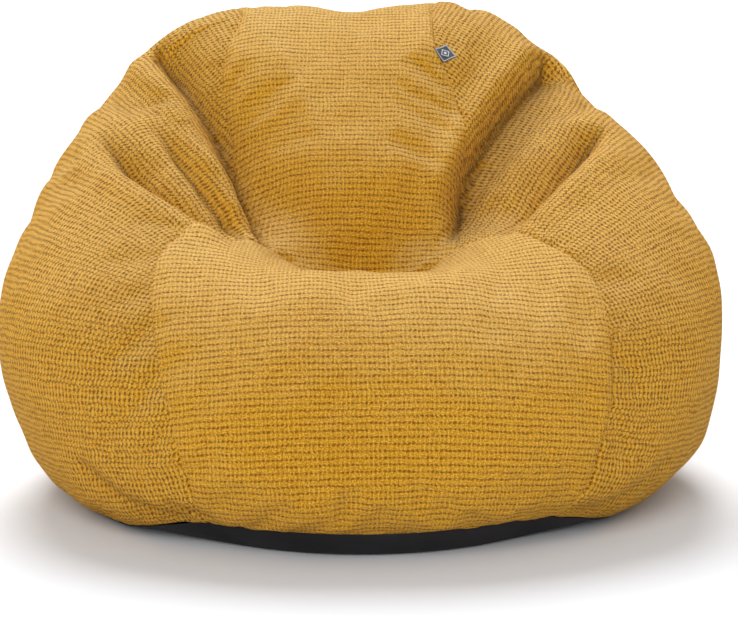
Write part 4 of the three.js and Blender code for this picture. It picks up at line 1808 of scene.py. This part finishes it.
@dataclass
class Inside:
    """The liner and the filling, which follow the cover from within, in millimetres."""

    form: BagForm
    creases: Creases
    skin: BVHTree
    liner_zip: Zip
    liner_depth: float = 15.0
    fill_depth: float = 27.0
    floor: float = 11.5
    steps: int = 120

    def _skin(self, depth: float, levels: np.ndarray) -> np.ndarray:
        """Rings of points at a depth under the creased form, kept below the cover's skin.

        Args:
            depth: How far under it, in millimetres.
            levels: The rings' levels.

        Returns:
            Positions, (rings, steps, 3).
        """
        degrees = np.linspace(0, 360, self.steps, endpoint=False)
        disc = self.form.on_disc(degrees[None], levels[:, None])
        lift = self.creases.soft(self.form, disc) - depth
        points = self.form.at(disc) + lift[..., None] * self.form.normal(disc)
        points += self.creases.sharp(self.form, disc)[0][..., None] * self.form.normal(disc, FOLD_STEP)
        for _ in range(3):
            for k in np.ndindex(*points.shape[:2]):
                place, normal, _, _ = self.skin.find_nearest(Vector(points[k]))
                over = (Vector(points[k]) - place).dot(normal) + 0.8 * depth
                if over > 0:
                    points[k] -= np.array(normal) * over
        points[..., 2] = np.maximum(points[..., 2], self.floor)
        return points

    def _closed(self, depth: float, levels: np.ndarray, floor: float) -> tuple[np.ndarray, list[list[int]]]:
        """A closed bag at a depth, with a flat bottom.

        Args:
            depth: How far under the form, in millimetres.
            levels: The rings' levels, from the hollow down.
            floor: The bottom's height in millimetres.

        Returns:
            Points and faces.
        """
        rings = self._skin(depth, levels)
        degrees = np.linspace(0, 360, self.steps, endpoint=False)
        base = [on_circle(r, degrees, floor + 0 * degrees)[None] for r in (290 - depth, 150)]
        rings = np.concatenate([rings, *base])
        top, bottom = rings[0].mean(0), np.array([0, 0, floor])
        points = np.concatenate([rings.reshape(-1, 3), [top, bottom]])
        faces = grid_faces(len(rings), self.steps, wrap=True).tolist()
        last = (len(rings) - 1) * self.steps
        for j in range(self.steps):
            after = (j + 1) % self.steps
            faces.append([len(points) - 2, after, j])
            faces.append([len(points) - 1, last + j, last + after])
        return points, faces

    def build(self) -> list[bpy.types.Object]:
        """Builds the liner, open behind where its zip is, and the filling.

        Returns:
            The pieces.
        """
        near, edge = self.liner_zip.tape_outer, self.liner_zip.height
        scale = np.linspace(0.5, 1.5, 400)
        low, high = np.interp((edge - near, edge + near), self.form.surface(180, scale)[..., 2], scale)
        levels = np.concatenate([
            np.linspace(2.985, 2.0, 34), np.linspace(1.96, high + 0.05, 24),
            [high, 1.0, low], np.linspace(low - 0.06, 0, 18),
        ])
        points, faces = self._closed(self.liner_depth, levels, self.floor)
        middle = np.array([points[f].mean(0) for f in faces])
        degrees = np.degrees(np.arctan2(middle[:, 0], -middle[:, 1])) % 360
        gap = (np.abs(degrees - 180) < self.liner_zip.end - 180) & (np.abs(middle[:, 2] - edge) < near)
        gap &= middle[:, 1] > 300
        kept = [f for f, cut in zip(faces, gap) if not cut]
        lining = FineCloth("liner_fabric", (0.8, 0.78, 0.73), 0.75, thread=0.8 * MM, wear=0.05).material()
        liner = make_piece("liner_cloth", points, kept, lining)
        repair_normals(liner)
        wall = liner.modifiers.new("wall", "SOLIDIFY")
        wall.thickness = 1.2 * MM
        wall.offset = -1
        settle(liner, "liner_bag")
        quads = np.array([points[f] for f in kept if len(f) == 4])
        area = float(polygon_areas(quads).sum()) * MM * MM
        levels = np.concatenate([np.linspace(2.985, 2.0, 30), np.linspace(1.95, 0, 44)])
        points, faces = self._closed(self.fill_depth, levels, self.floor + 8)
        fill = make_piece("bead_filling", points, faces, FoamBeads().material())
        repair_normals(fill)
        settle(fill, "bead_fill")
        return [liner, fill]


# ---------------------------------------------------------------- studio


@dataclass(frozen=True)
class Studio:
    """Camera, floor and soft light."""

    azimuth: float = -3.0
    elevation: float = 10.0
    distance: float = 2.6
    aim: tuple[float, float] = (0.0106, -0.0715)
    target: tuple[float, float, float] = (0, 0, 0.3)
    lens: float = 95.76
    sky: float = 0.56
    key: float = 3.65
    fill: float = 1.65
    floor_half: float = 90.0

    def build(self) -> None:
        """Makes the camera, the floor and the lights."""
        self._camera()
        half = self.floor_half
        points = np.array([[-half, -half, 0], [half, -half, 0], [half, half, 0], [-half, half, 0]]) / MM
        floor = make_piece("studio_floor", points, [[0, 1, 2, 3]], StudioFloor().material())
        floor.location.z = -0.4 * MM
        world = bpy.data.worlds.new("studio")
        world.use_nodes = True
        sheet = world.node_tree.nodes["Background"].inputs
        sheet["Color"].default_value = (1, 1, 1, 1)
        sheet["Strength"].default_value = self.sky
        bpy.context.scene.world = world
        self._sun("key", (-0.05, 0.8, 1.0), self.key, 36)
        self._sun("front_fill", (-0.3, -1.0, 0.75), self.fill, 50)
        bpy.context.scene.view_settings.view_transform = "Standard"

    def _camera(self) -> None:
        """A long lens at the height of a seated eye, a little to the left of the middle."""
        a, e = math.radians(self.azimuth), math.radians(self.elevation)
        back = Vector((math.sin(a) * math.cos(e), -math.cos(a) * math.cos(e), math.sin(e)))
        right = Vector((math.cos(a), math.sin(a), 0))
        up = back.cross(right)
        place = Vector(self.target) + back * self.distance
        aim = Vector(self.target) + right * self.aim[0] + up * self.aim[1]
        lens = bpy.data.cameras.new("camera")
        lens.lens = self.lens
        lens.sensor_width = 36
        camera = bpy.data.objects.new("camera", lens)
        turn = (aim - place).to_track_quat("-Z", "Y").to_matrix().to_4x4()
        camera.matrix_world = Matrix.Translation(place) @ turn
        bpy.context.scene.collection.objects.link(camera)
        bpy.context.scene.camera = camera

    @staticmethod
    def _sun(name: str, towards: tuple[float, float, float], strength: float, spread: float) -> None:
        """A wide soft light from a direction.

        Args:
            name: The light's name.
            towards: The way to the light.
            strength: Its strength.
            spread: Its width in degrees.
        """
        light = bpy.data.lights.new(name, "SUN")
        light.energy = strength
        light.angle = math.radians(spread)
        lamp = bpy.data.objects.new(name, light)
        lamp.rotation_euler = Vector(towards).to_track_quat("Z", "Y").to_euler()
        bpy.context.scene.collection.objects.link(lamp)


def main() -> None:
    """Builds the chair's pieces in order and reports each."""
    logging.basicConfig(level=logging.INFO, format="%(name)s: %(message)s")
    Studio().build()
    form, creases = BagForm(), Creases()
    cover = Cover(form, creases)
    panels = cover.build()
    cover_zip = Zip("cover_zip", 351.2, 50, 136, 224, 5.5, "cover_slider")
    liner_zip = Zip("liner_zip", 440.4, 200, 156, 204, 0, "liner_slider")
    zip_bottom = cover_zip.height - cover_zip.tape_outer - 0.5
    BasePanel(form, (cover_zip.start, cover_zip.end), zip_bottom).build()
    cover_zip.build()
    liner_zip.build()
    Inside(form, creases, cover.skin, liner_zip).build()
    SewnLabel("woven_label", "woven_label", 22, 24, 143, 2.37, 55, 1.0, WovenTag()).build(form, panels)
    SewnLabel("care_label", "care_label", 38, 24, -164, 0.5, 0, 0.6, Satin()).build(form, panels)


if __name__ == "__main__":
    main()
